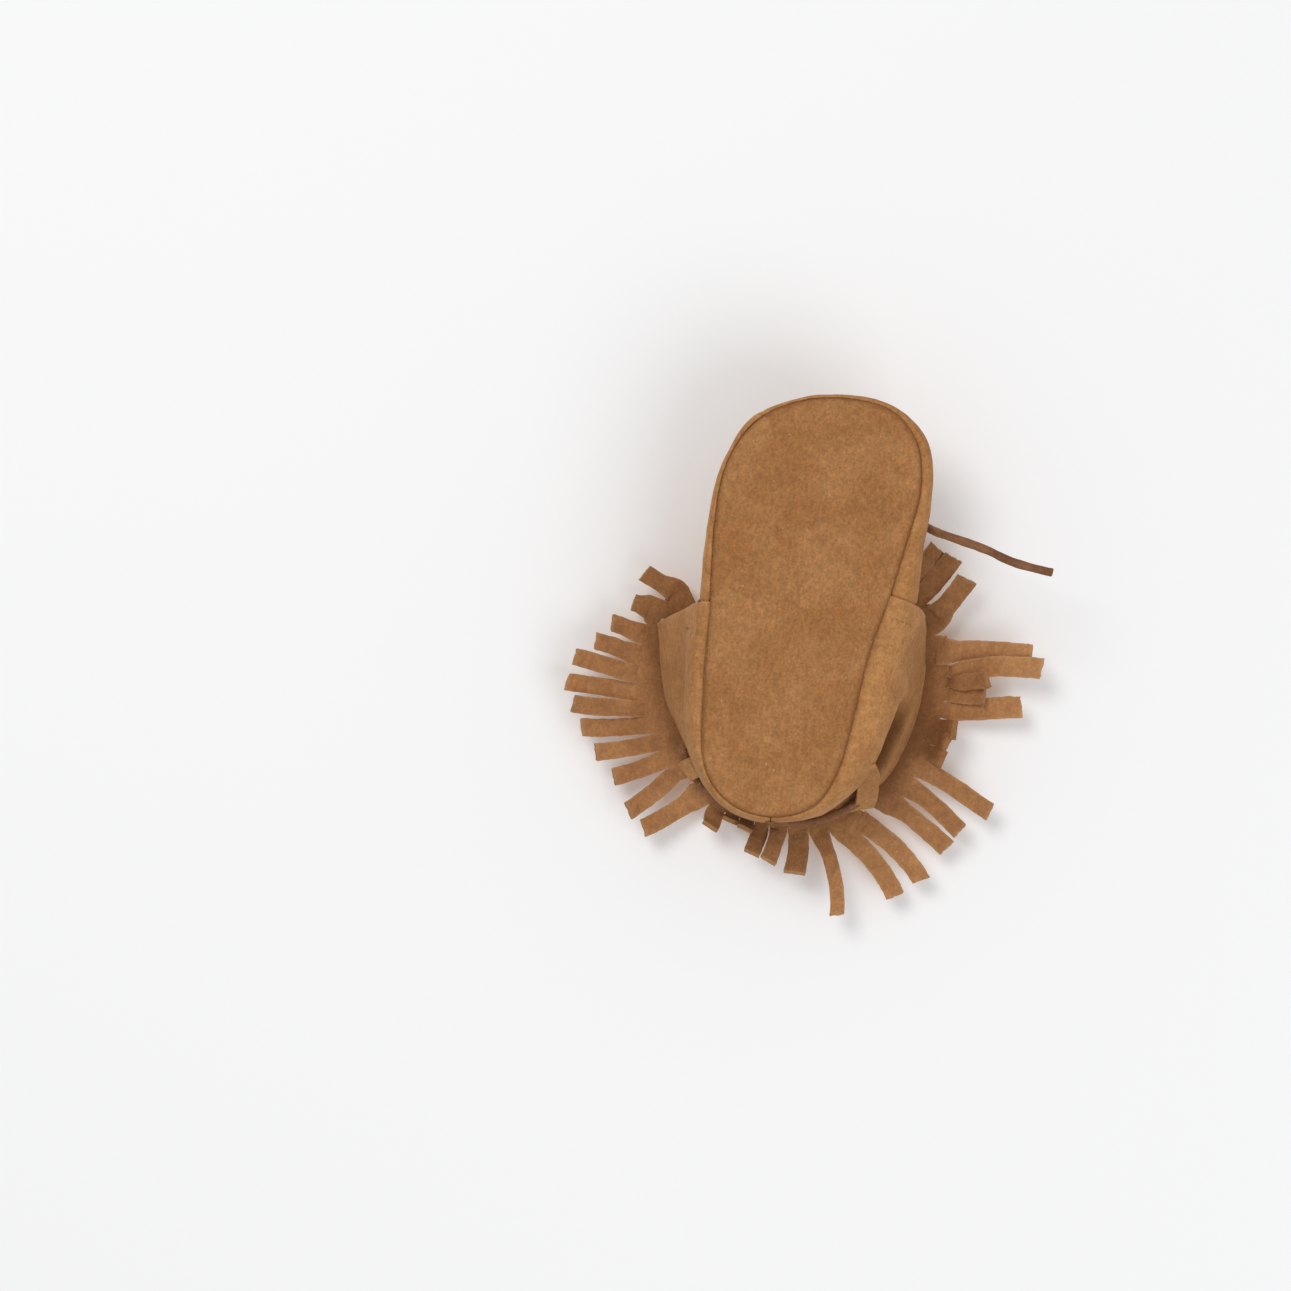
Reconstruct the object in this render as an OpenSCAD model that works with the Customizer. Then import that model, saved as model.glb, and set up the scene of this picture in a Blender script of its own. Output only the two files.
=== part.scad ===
// Soft-soled fringed moccasin, right foot. Sole down, toe towards -Y, inner side of the foot towards +X.
// The origin is on the ground under the middle of the sole.

/* [Sole] */
// Thickness of the suede outsole
outsole_t = 1.6; // [1.2:0.1:2]
// Thickness of the foam between the outsole and the insole
pad_t = 2.0; // [1:0.5:3]
// Thickness of the insole
insole_t = 1.0; // [0.8:0.1:1.4]

/* [Upper] */
// Thickness of the suede in the upper
leather_t = 1.3; // [1:0.1:1.6]
// Height of the toe wall's top edge at the toe
toe_h = 16; // [14:1:19]
// Height of the toe wall's top edge at the side seams
instep_h = 28; // [26:1:29]
// Height of the collar at its two front corners
collar_front_h = 33; // [31:1:36]
// Height of the collar at the heel
collar_heel_h = 37; // [35:1:40]
// Height of the apron's dome over its edges, at its rear
dome = 5; // [4:0.5:6]

/* [Tongue] */
// Width of the tongue
tongue_w = 25; // [20:1:27]
// Length of the tongue behind its hinge seam
tongue_len = 24; // [18:1:26]
// Rise of the tongue's free end
tongue_rise = 10; // [6:1:12]

/* [Fringe] */
// Thickness of the fringe leather
fringe_t = 1.2; // [1:0.1:1.4]
// Width of the uncut band that the strips hang from
band_w = 5; // [4:0.5:6]

/* [Lace] */
// Diameter of the leather lace
lace_d = 2.4; // [2:0.1:2.6]

/* [Stitching] */
// Diameter of the sewing thread
thread_d = 0.7; // [0.5:0.1:0.8]
// Distance from one stitch to the next along the sole seam
sole_pitch = 3.6; // [3:0.2:6]

/* [Hidden] */

suede = [0.68, 0.46, 0.26];
dark_suede = [0.52, 0.32, 0.17];
thread = [0.45, 0.24, 0.11];

seam_groove = 0.5;
wall_foot_z = 1.4;
side_seam_medial = 5;
side_seam_lateral = 14;
heel_seam = 10;
lap = 0.04;

// The sole seam from the toe's tip, round the inner side, the heel and the outer side: one knot a row.
seam_knots = [
    [10, -58.5], [19.5, -55.6], [26, -48], [28.2, -36], [26.4, -22], [23.9, -6], [20.6, 9],
    [18.9, 25], [16.9, 41], [11.5, 53], [0, 57.8], [-12, 55.4], [-20, 46], [-22.8, 28],
    [-24.5, 3], [-26.3, -20], [-25.2, -37], [-18, -50], [-5, -57]
];
knots = len(seam_knots);

// How far the upper bulges out past the seam, at each knot.
bulge_knots = [
    1.5, 2.2, 3.6, 4.1, 5.8, 8.7, 10.6, 12.2, 9.2, 3.4, 2.2, 2.2, 2.8, 6, 3.6, 2.4, 1.8, 1.7, 1.2
];

// How far the collar stands out past the seam, from the inner side seam round the heel to the outer one.
flare_knots = [12.6, 17.4, 19.1, 15.1, 4, -2.8, -2.3, 1.8, 10.8, 14.8, 16.6];

// Fringe strips: where each begins and ends along the collar, length, heading and its change to the tip,
// droop and extra droop at the tip, how far it hangs below its neighbours, width.
strips_medial = [
    [4.38, 4.66, 13, -60, 4, 4, 6, 0, 4.7], [4.66, 4.92, 15, -59, 4, 6, 6, 0.5, 4.7],
    [4.92, 5.28, 15, -59, 4, 8, 6, 1, 4.9], [5.28, 5.72, 26.5, -15, 16, 6, 2, 0.6, 5.2],
    [5.72, 6, 26.5, -21, 20, 9, 4, 1.7, 5.2], [6, 6.27, 13.5, -12, -8, 14, 34, 2.4, 4.8],
    [6.27, 6.54, 12, -8, 4, 12, 20, 0.8, 4.9], [6.54, 6.84, 22.5, -9, -2, 6, 4, 0, 6],
    [6.84, 7.09, 12.5, 4, 8, 40, 60, 1.2, 5], [7.09, 7.33, 12.5, 10, 8, 46, 60, 0.4, 4.9],
    [7.33, 7.57, 12, 20, 8, 44, 60, 0.8, 4.8], [7.57, 7.82, 23.5, 18, 12, 8, 2, 0.8, 5.2],
    [7.82, 8.1, 20, 23, 18, 10, 8, 0.2, 5], [8.1, 8.44, 21, 25, 7, 8, 6, 0, 5.2]
];
strips_heel = [
    [8.56, 8.8, 25, 23, 25, 6, 6, 0.2, 5.2], [8.8, 9.03, 25.5, 28, 31, 8, 6, 0, 5.4],
    [9.03, 9.3, 25, 52, 38, 14, 6, 0.8, 3.9], [9.3, 9.62, 14.5, 72, 36, 24, 20, 0.4, 6],
    [9.62, 9.95, 12.5, 101, 6, 30, 20, 0.8, 4.6], [9.95, 10.25, 12, 99, 8, 30, 20, 0, 4.6],
    [10.25, 10.55, 8, 100, 8, 66, 20, 0.6, 4.6], [10.55, 10.85, 7.5, 104, 8, 66, 30, 0, 4.8],
    [10.85, 11.2, 9.5, 97, 6, 40, 30, 0.5, 5.2], [11.2, 11.68, 19, 139, 4, 8, 10, 0, 5.2]
];
strips_lateral = [
    [11.8, 12.03, 19, 128, 8, 10, 16, 0.4, 5.2], [12.03, 12.25, 17.5, 146, 8, 8, 12, 0, 5],
    [12.25, 12.47, 20, 160, 4, 12, 14, 0.3, 4.8], [12.47, 12.69, 21, 168, 4, 6, 10, 0, 4.8],
    [12.69, 12.9, 22, 175, 6, 12, 16, 0.4, 4.8], [12.9, 13.11, 22, 183, 0, 6, 8, 0, 4.8],
    [13.11, 13.32, 20, 188, 4, 14, 16, 0.5, 4.8], [13.32, 13.53, 14, 190, 4, 8, 10, 0, 4.8],
    [13.53, 13.76, 11, 190, 4, 12, 16, 0.6, 4.8], [13.76, 14.08, 6.5, 182, 6, 6, 10, 0.2, 4.8],
    [14.08, 14.46, 11.5, 196, 4, 6, 6, 0.8, 5]
];

// The lace from the knot to the collar on each side, and the two loose tails from the knot to their ends.
lace_front_medial = [[5, -16.6, 36.2], [14, -12.5, 36], [23, -6, 35], [29, -0.5, 33.6]];
lace_front_lateral = [[-1, -16.6, 36.2], [-10, -12.8, 36], [-19, -6, 35], [-26.5, 2, 33.6]];
tail_medial = [
    [5.4, -18.6, 35.4], [9.6, -21.8, 34], [14.2, -25, 31.4], [18.6, -27.4, 28], [22.8, -28.6, 24.6],
    [26.8, -28.6, 21], [30.2, -27.8, 17.2], [32.8, -26.8, 12.8], [34.6, -26, 8.2], [36.6, -25.4, 4.2],
    [39.8, -24.7, 1.8], [44.4, -23.8, 1.25], [49.4, -22.6, 1.25], [54.6, -20.9, 1.25], [60.2, -19.9, 1.25],
    [67, -19.2, 1.25]
];
tail_lateral = [
    [-1.4, -18.6, 35.4], [-4.2, -21.8, 34.4], [-6.6, -25.4, 33], [-8.2, -29.4, 31.4], [-9, -33.6, 29.6],
    [-8.8, -37.8, 27.6], [-7.6, -41.8, 25.4], [-5.4, -45.4, 23.2], [-2.4, -48.4, 21]
];

function spline(a, b, c, d, s) =
    0.5 * (2 * b + (c - a) * s + (2 * a - 5 * b + 4 * c - d) * s * s + (3 * b - a - 3 * c + d) * s * s * s);
function around(list, t) =
    let (n = len(list), i = floor(t), s = t - i)
    spline(list[(i + n - 1) % n], list[i % n], list[(i + 1) % n], list[(i + 2) % n], s);
function along(list, t) =
    let (last = len(list) - 1, i = min(floor(t), last - 1), s = t - i)
    spline(list[max(i - 1, 0)], list[i], list[i + 1], list[min(i + 2, last)], s);
function unit(v) = v / norm(v);
function mix(a, b, s) = a + (b - a) * s;
function bezier(p, s) =
    p[0] * pow(1 - s, 3) + 3 * p[1] * s * pow(1 - s, 2) + 3 * p[2] * s * s * (1 - s) + p[3] * pow(s, 3);

function seam(t) = around(seam_knots, t);
function outward(t) = let (d = seam(t + 0.02) - seam(t + knots - 0.02)) unit([d[1], -d[0]]);
function bulge(t) = around(bulge_knots, t);
function flare(t) = along(flare_knots, t - side_seam_medial);
function outline(inset, steps) =
    [for (i = [0 : steps - 1]) let (t = i * knots / steps) seam(t) - inset * outward(t)];

// Distance from the toe's tip, in knots, up to the side seams.
function from_toe(t) = abs(t - knots);
function apron_inset(t) = mix(6.5, 10, sin(90 * min(1, from_toe(t) / 3)));
function wall_h(t) = mix(toe_h, instep_h, pow(min(1, from_toe(t) / 5), 1.3));
function toe_profile(t) =
    let (b = bulge(t), h = wall_h(t))
    [[0.1, wall_foot_z], [b + 0.5, wall_foot_z - 1.8], [1.7 * b + 0.9, 0.55 * h], [-apron_inset(t), h]];

// Height of the collar, from its front corners to the heel.
function collar_h(t) = mix(collar_heel_h, collar_front_h, pow(min(1, abs(t - 9.5) / 4.5), 2));

// The fold in the inner side, where the tight lace pulls the leather in.
crease_depth = 8;
crease_at = 0.6;
crease_width = 0.1;
function crease(t) = t > 6.4 && t < 9 ? crease_depth * pow(sin(180 * (t - 6.4) / 2.6), 2) : 0;
function quarter_profile(t) =
    let (b = bulge(t), h = collar_h(t))
    [[0.1, wall_foot_z], [b + 0.6, wall_foot_z - 1.8], [1.15 * b + 0.4, 0.55 * h], [flare(t), h]];

function at(t, q) = let (p = seam(t) + q[0] * outward(t)) [p[0], p[1], q[1]];
function ramp(x) = min(1, max(0, x));

// The toe wall's two ends are tucked in behind the quarters, which stand a little proud of them.
tuck_span = 0.42;
function tuck(t) = ramp((from_toe(t) - side_seam_medial + 0.1) / 0.12);
function toe_start(t) = 0.13 * tuck(t);
function toe_point(t, s) = at(t, bezier(toe_profile(t), s));
function proud(t, s) =
    0.9 * ramp(s / 0.15) * ramp((max(t - heel_seam, heel_seam - t) - 3.2) / 0.8);
function quarter_point(t, s) =
    let (q = bezier(quarter_profile(t), s))
    at(t, [q[0] + proud(t, s) - crease(t) * exp(-pow((s - crease_at) / crease_width, 2)), q[1]]);

// The quarters' front edges lean back towards the collar.
function lean_medial(s) = side_seam_medial + lap + 0.25 * pow(s, 3);
function lean_lateral(s) = side_seam_lateral - lap - 0.2 * pow(s, 2);

function moved_in(p, along_t, along_s, d) = p - d * unit(cross(along_t, along_s));
function toe_inner(t, s, d) =
    moved_in(toe_point(t, s), toe_point(t + 0.01, s) - toe_point(t - 0.01, s),
        toe_point(t, s + 0.01) - toe_point(t, s - 0.01), d);
function quarter_inner(t, s, d) =
    moved_in(quarter_point(t, s), quarter_point(t + 0.01, s) - quarter_point(t - 0.01, s),
        quarter_point(t, s + 0.01) - quarter_point(t, s - 0.01), d);

// The apron's surface: from v = 0 at the toe to v = 1 at the tongue, and w = -1 to 1 across it.
function apron_edge(t) =
    let (p = toe_inner(t, 1, leather_t / 2), n = outward(t))
    p - 0.9 * [n[0], n[1], -0.35];
function apron_point(v, w) =
    let (a = apron_edge(knots - 4.6 * v), b = apron_edge(knots + 5 * v), m = mix(a, b, (w + 1) / 2))
    m + [0, 0, dome * pow(v, 0.7) * (1 - w * w)];

// The tongue's surface: y from its hinge seam to its free end, and w = -1 to 1 across it.
tongue_y = -8.4;
tongue_z = instep_h + dome - 0.6;
function tongue_point(s, w) =
    let (half = tongue_w / 2 * sqrt(1 - pow(max(0, s - 0.72) / 0.3, 2)))
    [w * half + 1.5, tongue_y + tongue_len * s, tongue_z + tongue_rise * s + 2.6 * (1 - w * w) - 2.6];

// The fringe's root line is the collar. At each end it turns inward over the throat, on an arc, then straight.
corner_medial = lean_medial(1);
corner_lateral = lean_lateral(1);
bend_radius = 5;
bend_most = 60;
knot_length = 20;
function collar_point(t) = quarter_point(t, 1);
function past(t) = knot_length * (max(0, corner_medial - t) + max(0, t - corner_lateral));
function bend(t) = min(bend_most, past(t) / bend_radius * 180 / PI);
function to_front(t) = let (n = outward(t)) t < heel_seam ? [n[1], -n[0]] : [-n[1], n[0]];
function held(t) = min(corner_lateral, max(corner_medial, t));
function band_way(t) = cos(bend(t)) * outward(held(t)) + sin(bend(t)) * to_front(held(t));
function root_point(t) =
    let (h = held(t), a = bend(t), rest = past(t) - bend_radius * a * PI / 180,
        ahead = bend_radius * sin(a) + rest * cos(a), inward = bend_radius * (1 - cos(a)) + rest * sin(a),
        run = ahead * to_front(h) - inward * outward(h))
    collar_point(h) + [run[0], run[1], 0];

// The top of the uncut band, r out from its root. It gets narrow at the two front corners.
band_droop = 6;
function ease(x) = let (y = ramp(x)) y * y * (3 - 2 * y);
function band_reach(t) =
    let (near_corner = (max(corner_medial - t, t - corner_lateral) + 0.5) / 0.4)
    band_w * (1 - 0.75 * ease(near_corner));
function band_point(t, r) =
    let (n = cos(band_droop) * band_way(t))
    root_point(t) + (0.9 + r) * [n[0], n[1], -sin(band_droop)] - [0, 0, 0.3];

// One strip's path: it leaves the band square to it, and turns to its own heading and droop.
strip_steps = 7;
strip_turn = 3.5;
strip_lap = 1.4;
function mid(strip) = (strip[0] + strip[1]) / 2;
function root_heading(strip) = let (n = band_way(mid(strip))) atan2(n[1], n[0]);
function turned(strip) = (strip[3] - root_heading(strip) + 540) % 360 - 180;
function settled(strip, s) = ease((s * (strip[2] + strip_lap) - strip_lap) / strip_turn);
function heading(strip, s) = root_heading(strip) + turned(strip) * settled(strip, s) + strip[4] * s;
function droop(strip, s) = mix(band_droop, strip[5], settled(strip, s)) + strip[6] * pow(s, 1.6);
function strip_dir(strip, s) =
    let (h = heading(strip, s), d = droop(strip, s)) [cos(h) * cos(d), sin(h) * cos(d), -sin(d)];
function strip_path(strip) =
    [for (i = 0, p = band_point(mid(strip), max(0, band_reach(mid(strip)) - strip_lap)); i <= strip_steps;
        p = p + (strip[2] + strip_lap) / strip_steps * strip_dir(strip, (i + 0.5) / strip_steps), i = i + 1)
        p - [0, 0, strip[7] * settled(strip, i / strip_steps)]];

// A closed shell between two grids of points, outer and inner, with the same rows and columns.
module shell(outer, inner) {
    n = len(outer);
    m = len(outer[0]);
    k = n * m;
    quads = concat(
        [for (i = [0 : n - 2], j = [0 : m - 2])
            [i * m + j, i * m + j + 1, (i + 1) * m + j + 1, (i + 1) * m + j]],
        [for (i = [0 : n - 2], j = [0 : m - 2])
            [k + i * m + j, k + (i + 1) * m + j, k + (i + 1) * m + j + 1, k + i * m + j + 1]],
        [for (i = [0 : n - 2]) [i * m, (i + 1) * m, k + (i + 1) * m, k + i * m]],
        [for (i = [0 : n - 2])
            [(i + 2) * m - 1, (i + 1) * m - 1, k + (i + 1) * m - 1, k + (i + 2) * m - 1]],
        [for (j = [0 : m - 2]) [j + 1, j, k + j, k + j + 1]],
        [for (j = [0 : m - 2])
            [(n - 1) * m + j, (n - 1) * m + j + 1, k + (n - 1) * m + j + 1, k + (n - 1) * m + j]]
    );
    polyhedron(
        points = concat([for (row = outer, p = row) p], [for (row = inner, p = row) p]),
        faces = [for (q = quads, half = [[0, 1, 2], [0, 2, 3]]) [q[half[0]], q[half[1]], q[half[2]]]]
    );
}

// A round tube along a list of points, with flat ends.
module tube(path, d, sides = 8) {
    n = len(path);
    rings = [for (i = [0 : n - 1])
        let (dir = unit(path[min(i + 1, n - 1)] - path[max(i - 1, 0)]),
            side = unit(cross(dir, [0, 0, 1])), up = cross(side, dir))
        for (j = [0 : sides - 1])
            path[i] + d / 2 * (cos(360 * j / sides) * side + sin(360 * j / sides) * up)];
    polyhedron(
        points = rings,
        faces = concat(
            [[for (j = [sides - 1 : -1 : 0]) j]],
            [[for (j = [0 : sides - 1]) (n - 1) * sides + j]],
            [for (i = [0 : n - 2], j = [0 : sides - 1], half = [0, 1])
                let (a = i * sides + j, b = i * sides + (j + 1) % sides)
                half == 0 ? [a, b, b + sides] : [a, b + sides, a + sides]]
        )
    );
}

// One stitch: a short round bar from one point to another.
module stitch(from, to) {
    v = to - from;
    translate(from)
        rotate([0, acos(v[2] / norm(v)), atan2(v[1], v[0])])
        cylinder(h = norm(v), d = thread_d, $fn = 16);
}

module slab(inset, z, thick) {
    translate([0, 0, z]) linear_extrude(thick) polygon(outline(inset, 76));
}

module outsole() {
    color(suede) slab(seam_groove, 0, outsole_t);
}

module midsole_pad() {
    color([0.9, 0.87, 0.78]) slab(seam_groove + 0.4, outsole_t + 0.05, pad_t);
}

module insole() {
    color(dark_suede) slab(seam_groove + 0.6, outsole_t + pad_t + 0.1, insole_t);
}

module toe_wall() {
    steps = 36;
    from = side_seam_lateral + lap;
    to = side_seam_medial + knots - lap;
    whole = [for (i = [0 : steps]) mix(from, to, i / steps)];
    rows = concat([from - tuck_span, from - 0.12], whole, [to + 0.12, to + tuck_span]);
    cols = [for (j = [0 : 8]) j / 8];
    color(suede) shell(
        [for (t = rows) [for (c = cols) toe_inner(t, mix(toe_start(t), 1, c), 1.4 * tuck(t))]],
        [for (t = rows) [for (c = cols) toe_inner(t, mix(toe_start(t), 1, c), 1.4 * tuck(t) + leather_t)]]
    );
}

module apron() {
    rows = [for (i = [0 : 14]) mix(0.03, 0.985, i / 14)];
    cols = [for (j = [-5 : 5]) j / 5];
    color(suede) shell(
        [for (v = rows) [for (w = cols) apron_point(v, w)]],
        [for (v = rows) [for (w = cols) apron_point(v, w) - [0, 0, leather_t]]]
    );
}

module tongue() {
    rows = [for (i = [0 : 12]) i / 12];
    cols = [for (j = [-4 : 4]) j / 4];
    color(dark_suede) shell(
        [for (s = rows) [for (w = cols) tongue_point(s, w)]],
        [for (s = rows) [for (w = cols) tongue_point(s, w) - [0, 0, leather_t]]]
    );
}

// One quarter, between the two lines from and to, which give the place along the seam at each height.
module quarter(from, to, steps) {
    last = len(from) - 1;
    rows = [for (i = [0 : steps]) [for (j = [0 : last]) mix(from[j], to[j], i / steps)]];
    color(suede) shell(
        [for (row = rows) [for (j = [0 : last]) quarter_point(row[j], j / last)]],
        [for (row = rows) [for (j = [0 : last]) quarter_inner(row[j], j / last, leather_t)]]
    );
}

module quarter_medial() {
    quarter([for (j = [0 : 20]) lean_medial(j / 20)], [for (j = [0 : 20]) heel_seam - 0.015], 30);
}

module quarter_lateral() {
    quarter([for (j = [0 : 12]) heel_seam + 0.015], [for (j = [0 : 12]) lean_lateral(j / 12)], 20);
}

// A fringe flap: the uncut band along the collar, and its strips.
module fringe(from, to, strips) {
    steps = ceil((to - from) * 8);
    rows = [for (i = [0 : steps]) mix(from, to, i / steps)];
    under = [0, 0, fringe_t];
    color(suede) union() {
        shell(
            [for (t = rows) [for (r = [0, band_reach(t)]) band_point(t, r) - under]],
            [for (t = rows) [for (r = [0, band_reach(t)]) band_point(t, r)]]
        );
        for (strip = strips) strip(strip);
    }
}

module strip(strip) {
    path = strip_path(strip);
    steps = [for (i = [0 : strip_steps]) i / strip_steps];
    side = [for (s = steps) strip[8] / 2 * [-sin(heading(strip, s)), cos(heading(strip, s)), 0]];
    lift = [for (i = [0 : strip_steps]) fringe_t * unit(cross(strip_dir(strip, steps[i]), side[i]))];
    top = path - 0.06 * lift;
    under = path - 0.94 * lift;
    shell(
        [for (i = [0 : strip_steps]) [top[i] - side[i], top[i] + side[i]]],
        [for (i = [0 : strip_steps]) [under[i] - side[i], under[i] + side[i]]]
    );
}

fringe_ends_medial = [4.38, 8.44];
fringe_ends_heel = [8.56, 11.68];
fringe_ends_lateral = [11.8, 14.46];

module fringe_medial() {
    fringe(fringe_ends_medial[0], fringe_ends_medial[1], strips_medial);
}

module fringe_heel() {
    fringe(fringe_ends_heel[0], fringe_ends_heel[1], strips_heel);
}

module fringe_lateral() {
    fringe(fringe_ends_lateral[0], fringe_ends_lateral[1], strips_lateral);
}

// The lace lies inside the collar. Round the heel it is outside, between two slits, and runs through the loops.
lace_gap = lace_d / 2 + 0.35;
function lace_out(t) = ease((t - 8.16) / 0.3) * ease((12.5 - t) / 0.3);
function lace_s(t) = mix(0.92, 0.8 - 0.04 * ramp(1 - abs(t - 8.55) / 0.8), lace_out(t));
function lace_place(t) = quarter_inner(t, lace_s(t), mix(leather_t + lace_gap, -lace_gap, lace_out(t)));

// A flat strap along a path, with the given direction across it.
module strap(path, across, wide, thick) {
    n = len(path);
    side = wide / 2 * unit(across);
    lift = [for (i = [0 : n - 1]) thick * unit(cross(path[min(i + 1, n - 1)] - path[max(i - 1, 0)], side))];
    shell(
        [for (i = [0 : n - 1]) [path[i] - side + lift[i], path[i] + side + lift[i]]],
        [for (i = [0 : n - 1]) [path[i] - side, path[i] + side]]
    );
}

loop_w = 5.2;
loop_t = 1.1;
loop_path_medial = [
    [24.2, 41.4, 6.4], [25.6, 43.6, 10.2], [26, 46, 14.4], [26.4, 48.6, 18.6], [26.5, 51, 23],
    [25.8, 53, 27], [24, 53.6, 30], [21.8, 53, 32.2]
];

module rear_loop_medial() {
    color(suede) strap(loop_path_medial, [-0.95, 0.3, 0], loop_w, loop_t);
}

module rear_loop_lateral() {
    spread = [0.3, 1.8, 3.4, 3.6, 3.4, 1.9, 0.4];
    path = [for (i = [0 : 6]) quarter_inner(11.95, mix(0.64, 0.93, i / 6), -spread[i])];
    color(suede) strap(path, collar_point(12.05) - collar_point(11.85), loop_w, loop_t);
}

module lace_band() {
    round_back = [for (i = [0 : 48]) lace_place(mix(5.55, 13.52, i / 48))];
    back_to_knot = [for (i = [len(lace_front_lateral) - 1 : -1 : 0]) lace_front_lateral[i]];
    color(dark_suede) tube(concat(lace_front_medial, round_back, back_to_knot), lace_d);
}

module lace_knot() {
    color(dark_suede) translate([2, -17.4, 35.6]) rotate([0, 90, 0]) translate([0, 0, -2.9])
        rotate_extrude($fn = 32) union() {
            square([2.2, 5.8]);
            translate([1.9, 2.9]) circle(r = 1.2, $fn = 24);
        }
}

module lace_tail_medial() {
    color(dark_suede) tube(tail_medial, lace_d);
}

module lace_tail_lateral() {
    color(dark_suede) tube(tail_lateral, lace_d);
}

module sole_stitch() {
    count = round(311 / sole_pitch);
    color(thread) for (i = [0 : count - 1]) {
        a = seam(i * knots / count);
        b = seam((i + 0.62) * knots / count);
        stitch([a[0], a[1], 0.65], [b[0], b[1], 0.65]);
    }
}

// Stitches across the seam between the toe wall and the apron.
module apron_stitch() {
    color(thread) for (i = [0 : 33]) {
        t = mix(side_seam_lateral + 0.35, side_seam_medial + knots - 0.35, i / 33);
        n = outward(t);
        up = [0, 0, 0.75];
        from = toe_point(t, 0.93) + up + 0.2 * [n[0], n[1], 0];
        to = apron_edge(t) + up - 1.1 * [n[0], n[1], -0.4];
        stitch(from, to);
    }
}

module seam_stitches(t, low, high, count) {
    color(thread) for (i = [0 : count - 1]) {
        s = mix(low, high, i / (count - 1));
        stitch(quarter_inner(t, s, -thread_d / 2 - 0.1), quarter_inner(t, s + 0.03, -thread_d / 2 - 0.1));
    }
}

module side_stitch_medial() {
    seam_stitches(side_seam_medial + 0.3, 0.1, 0.52, 7);
}

module side_stitch_lateral() {
    seam_stitches(side_seam_lateral - 0.25, 0.1, 0.52, 7);
}

module heel_stitch() {
    color(thread) for (i = [0 : 10]) {
        s = mix(0.1, 0.66, i / 10);
        stitch(
            quarter_inner(heel_seam - 0.09, s, -thread_d / 2 - 0.12),
            quarter_inner(heel_seam + 0.09, s + 0.02, -thread_d / 2 - 0.12)
        );
    }
}

// Running stitches on top of a fringe flap's band, near the collar.
module fringe_stitches(ends) {
    count = round((ends[1] - ends[0]) * 4);
    over = [0, 0, thread_d / 2 + 0.06];
    color(thread) for (i = [0 : count - 1]) {
        t = mix(ends[0] + 0.06, ends[1] - 0.2, i / (count - 1));
        stitch(band_point(t, 1.4) + over, band_point(t + 0.13, 1.4) + over);
    }
}

module fringe_stitch_medial() {
    fringe_stitches(fringe_ends_medial);
}

module fringe_stitch_heel() {
    fringe_stitches(fringe_ends_heel);
}

module fringe_stitch_lateral() {
    fringe_stitches(fringe_ends_lateral);
}

module tongue_stitch() {
    over = [0, 0, thread_d / 2 + 0.06];
    color(thread) for (i = [-3 : 3])
        stitch(tongue_point(0.06, i * 0.25 - 0.06) + over, tongue_point(0.06, i * 0.25 + 0.06) + over);
}

outsole();
midsole_pad();
insole();
toe_wall();
apron();
tongue();
quarter_medial();
quarter_lateral();
fringe_medial();
fringe_heel();
fringe_lateral();
rear_loop_medial();
rear_loop_lateral();
lace_band();
lace_knot();
lace_tail_medial();
lace_tail_lateral();
sole_stitch();
apron_stitch();
side_stitch_medial();
side_stitch_lateral();
heel_stitch();
fringe_stitch_medial();
fringe_stitch_heel();
fringe_stitch_lateral();
tongue_stitch();
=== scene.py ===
"""Looks of a soft-soled fringed moccasin for the right foot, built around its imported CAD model.

The shapes use the same knots and formulas as the CAD source, in millimetres, with finer grids, wrinkles,
puckers, rounded and frayed edges. The sole is down and the toe points towards -Y.
"""

import math

import bpy
import numpy as np
from mathutils import Matrix, Vector
from mathutils.geometry import delaunay_2d_cdt


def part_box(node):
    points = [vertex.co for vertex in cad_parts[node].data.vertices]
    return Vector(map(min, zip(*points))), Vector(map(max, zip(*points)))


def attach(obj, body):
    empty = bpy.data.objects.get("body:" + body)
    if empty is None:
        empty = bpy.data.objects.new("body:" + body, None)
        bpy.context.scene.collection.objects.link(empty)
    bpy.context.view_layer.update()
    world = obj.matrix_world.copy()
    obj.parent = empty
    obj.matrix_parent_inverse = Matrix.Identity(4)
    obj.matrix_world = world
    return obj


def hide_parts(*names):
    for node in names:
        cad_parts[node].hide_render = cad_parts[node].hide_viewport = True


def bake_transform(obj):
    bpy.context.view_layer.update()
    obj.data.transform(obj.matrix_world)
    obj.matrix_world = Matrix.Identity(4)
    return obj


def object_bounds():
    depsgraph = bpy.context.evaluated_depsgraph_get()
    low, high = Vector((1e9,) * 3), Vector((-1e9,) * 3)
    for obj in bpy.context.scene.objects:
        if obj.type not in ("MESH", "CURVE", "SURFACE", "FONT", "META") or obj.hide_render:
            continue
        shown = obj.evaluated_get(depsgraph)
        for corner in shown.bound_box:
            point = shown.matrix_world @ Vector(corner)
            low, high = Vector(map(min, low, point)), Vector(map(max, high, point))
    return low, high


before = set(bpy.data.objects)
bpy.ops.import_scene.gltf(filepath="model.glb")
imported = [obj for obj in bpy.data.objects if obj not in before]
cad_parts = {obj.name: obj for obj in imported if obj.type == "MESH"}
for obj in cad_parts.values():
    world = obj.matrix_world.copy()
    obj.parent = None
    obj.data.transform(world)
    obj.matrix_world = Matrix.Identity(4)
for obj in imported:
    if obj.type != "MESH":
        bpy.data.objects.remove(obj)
cad_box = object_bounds()

MM = 0.001

# ---------------------------------------------------------------- sizes, in millimetres, as in the CAD source

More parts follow.
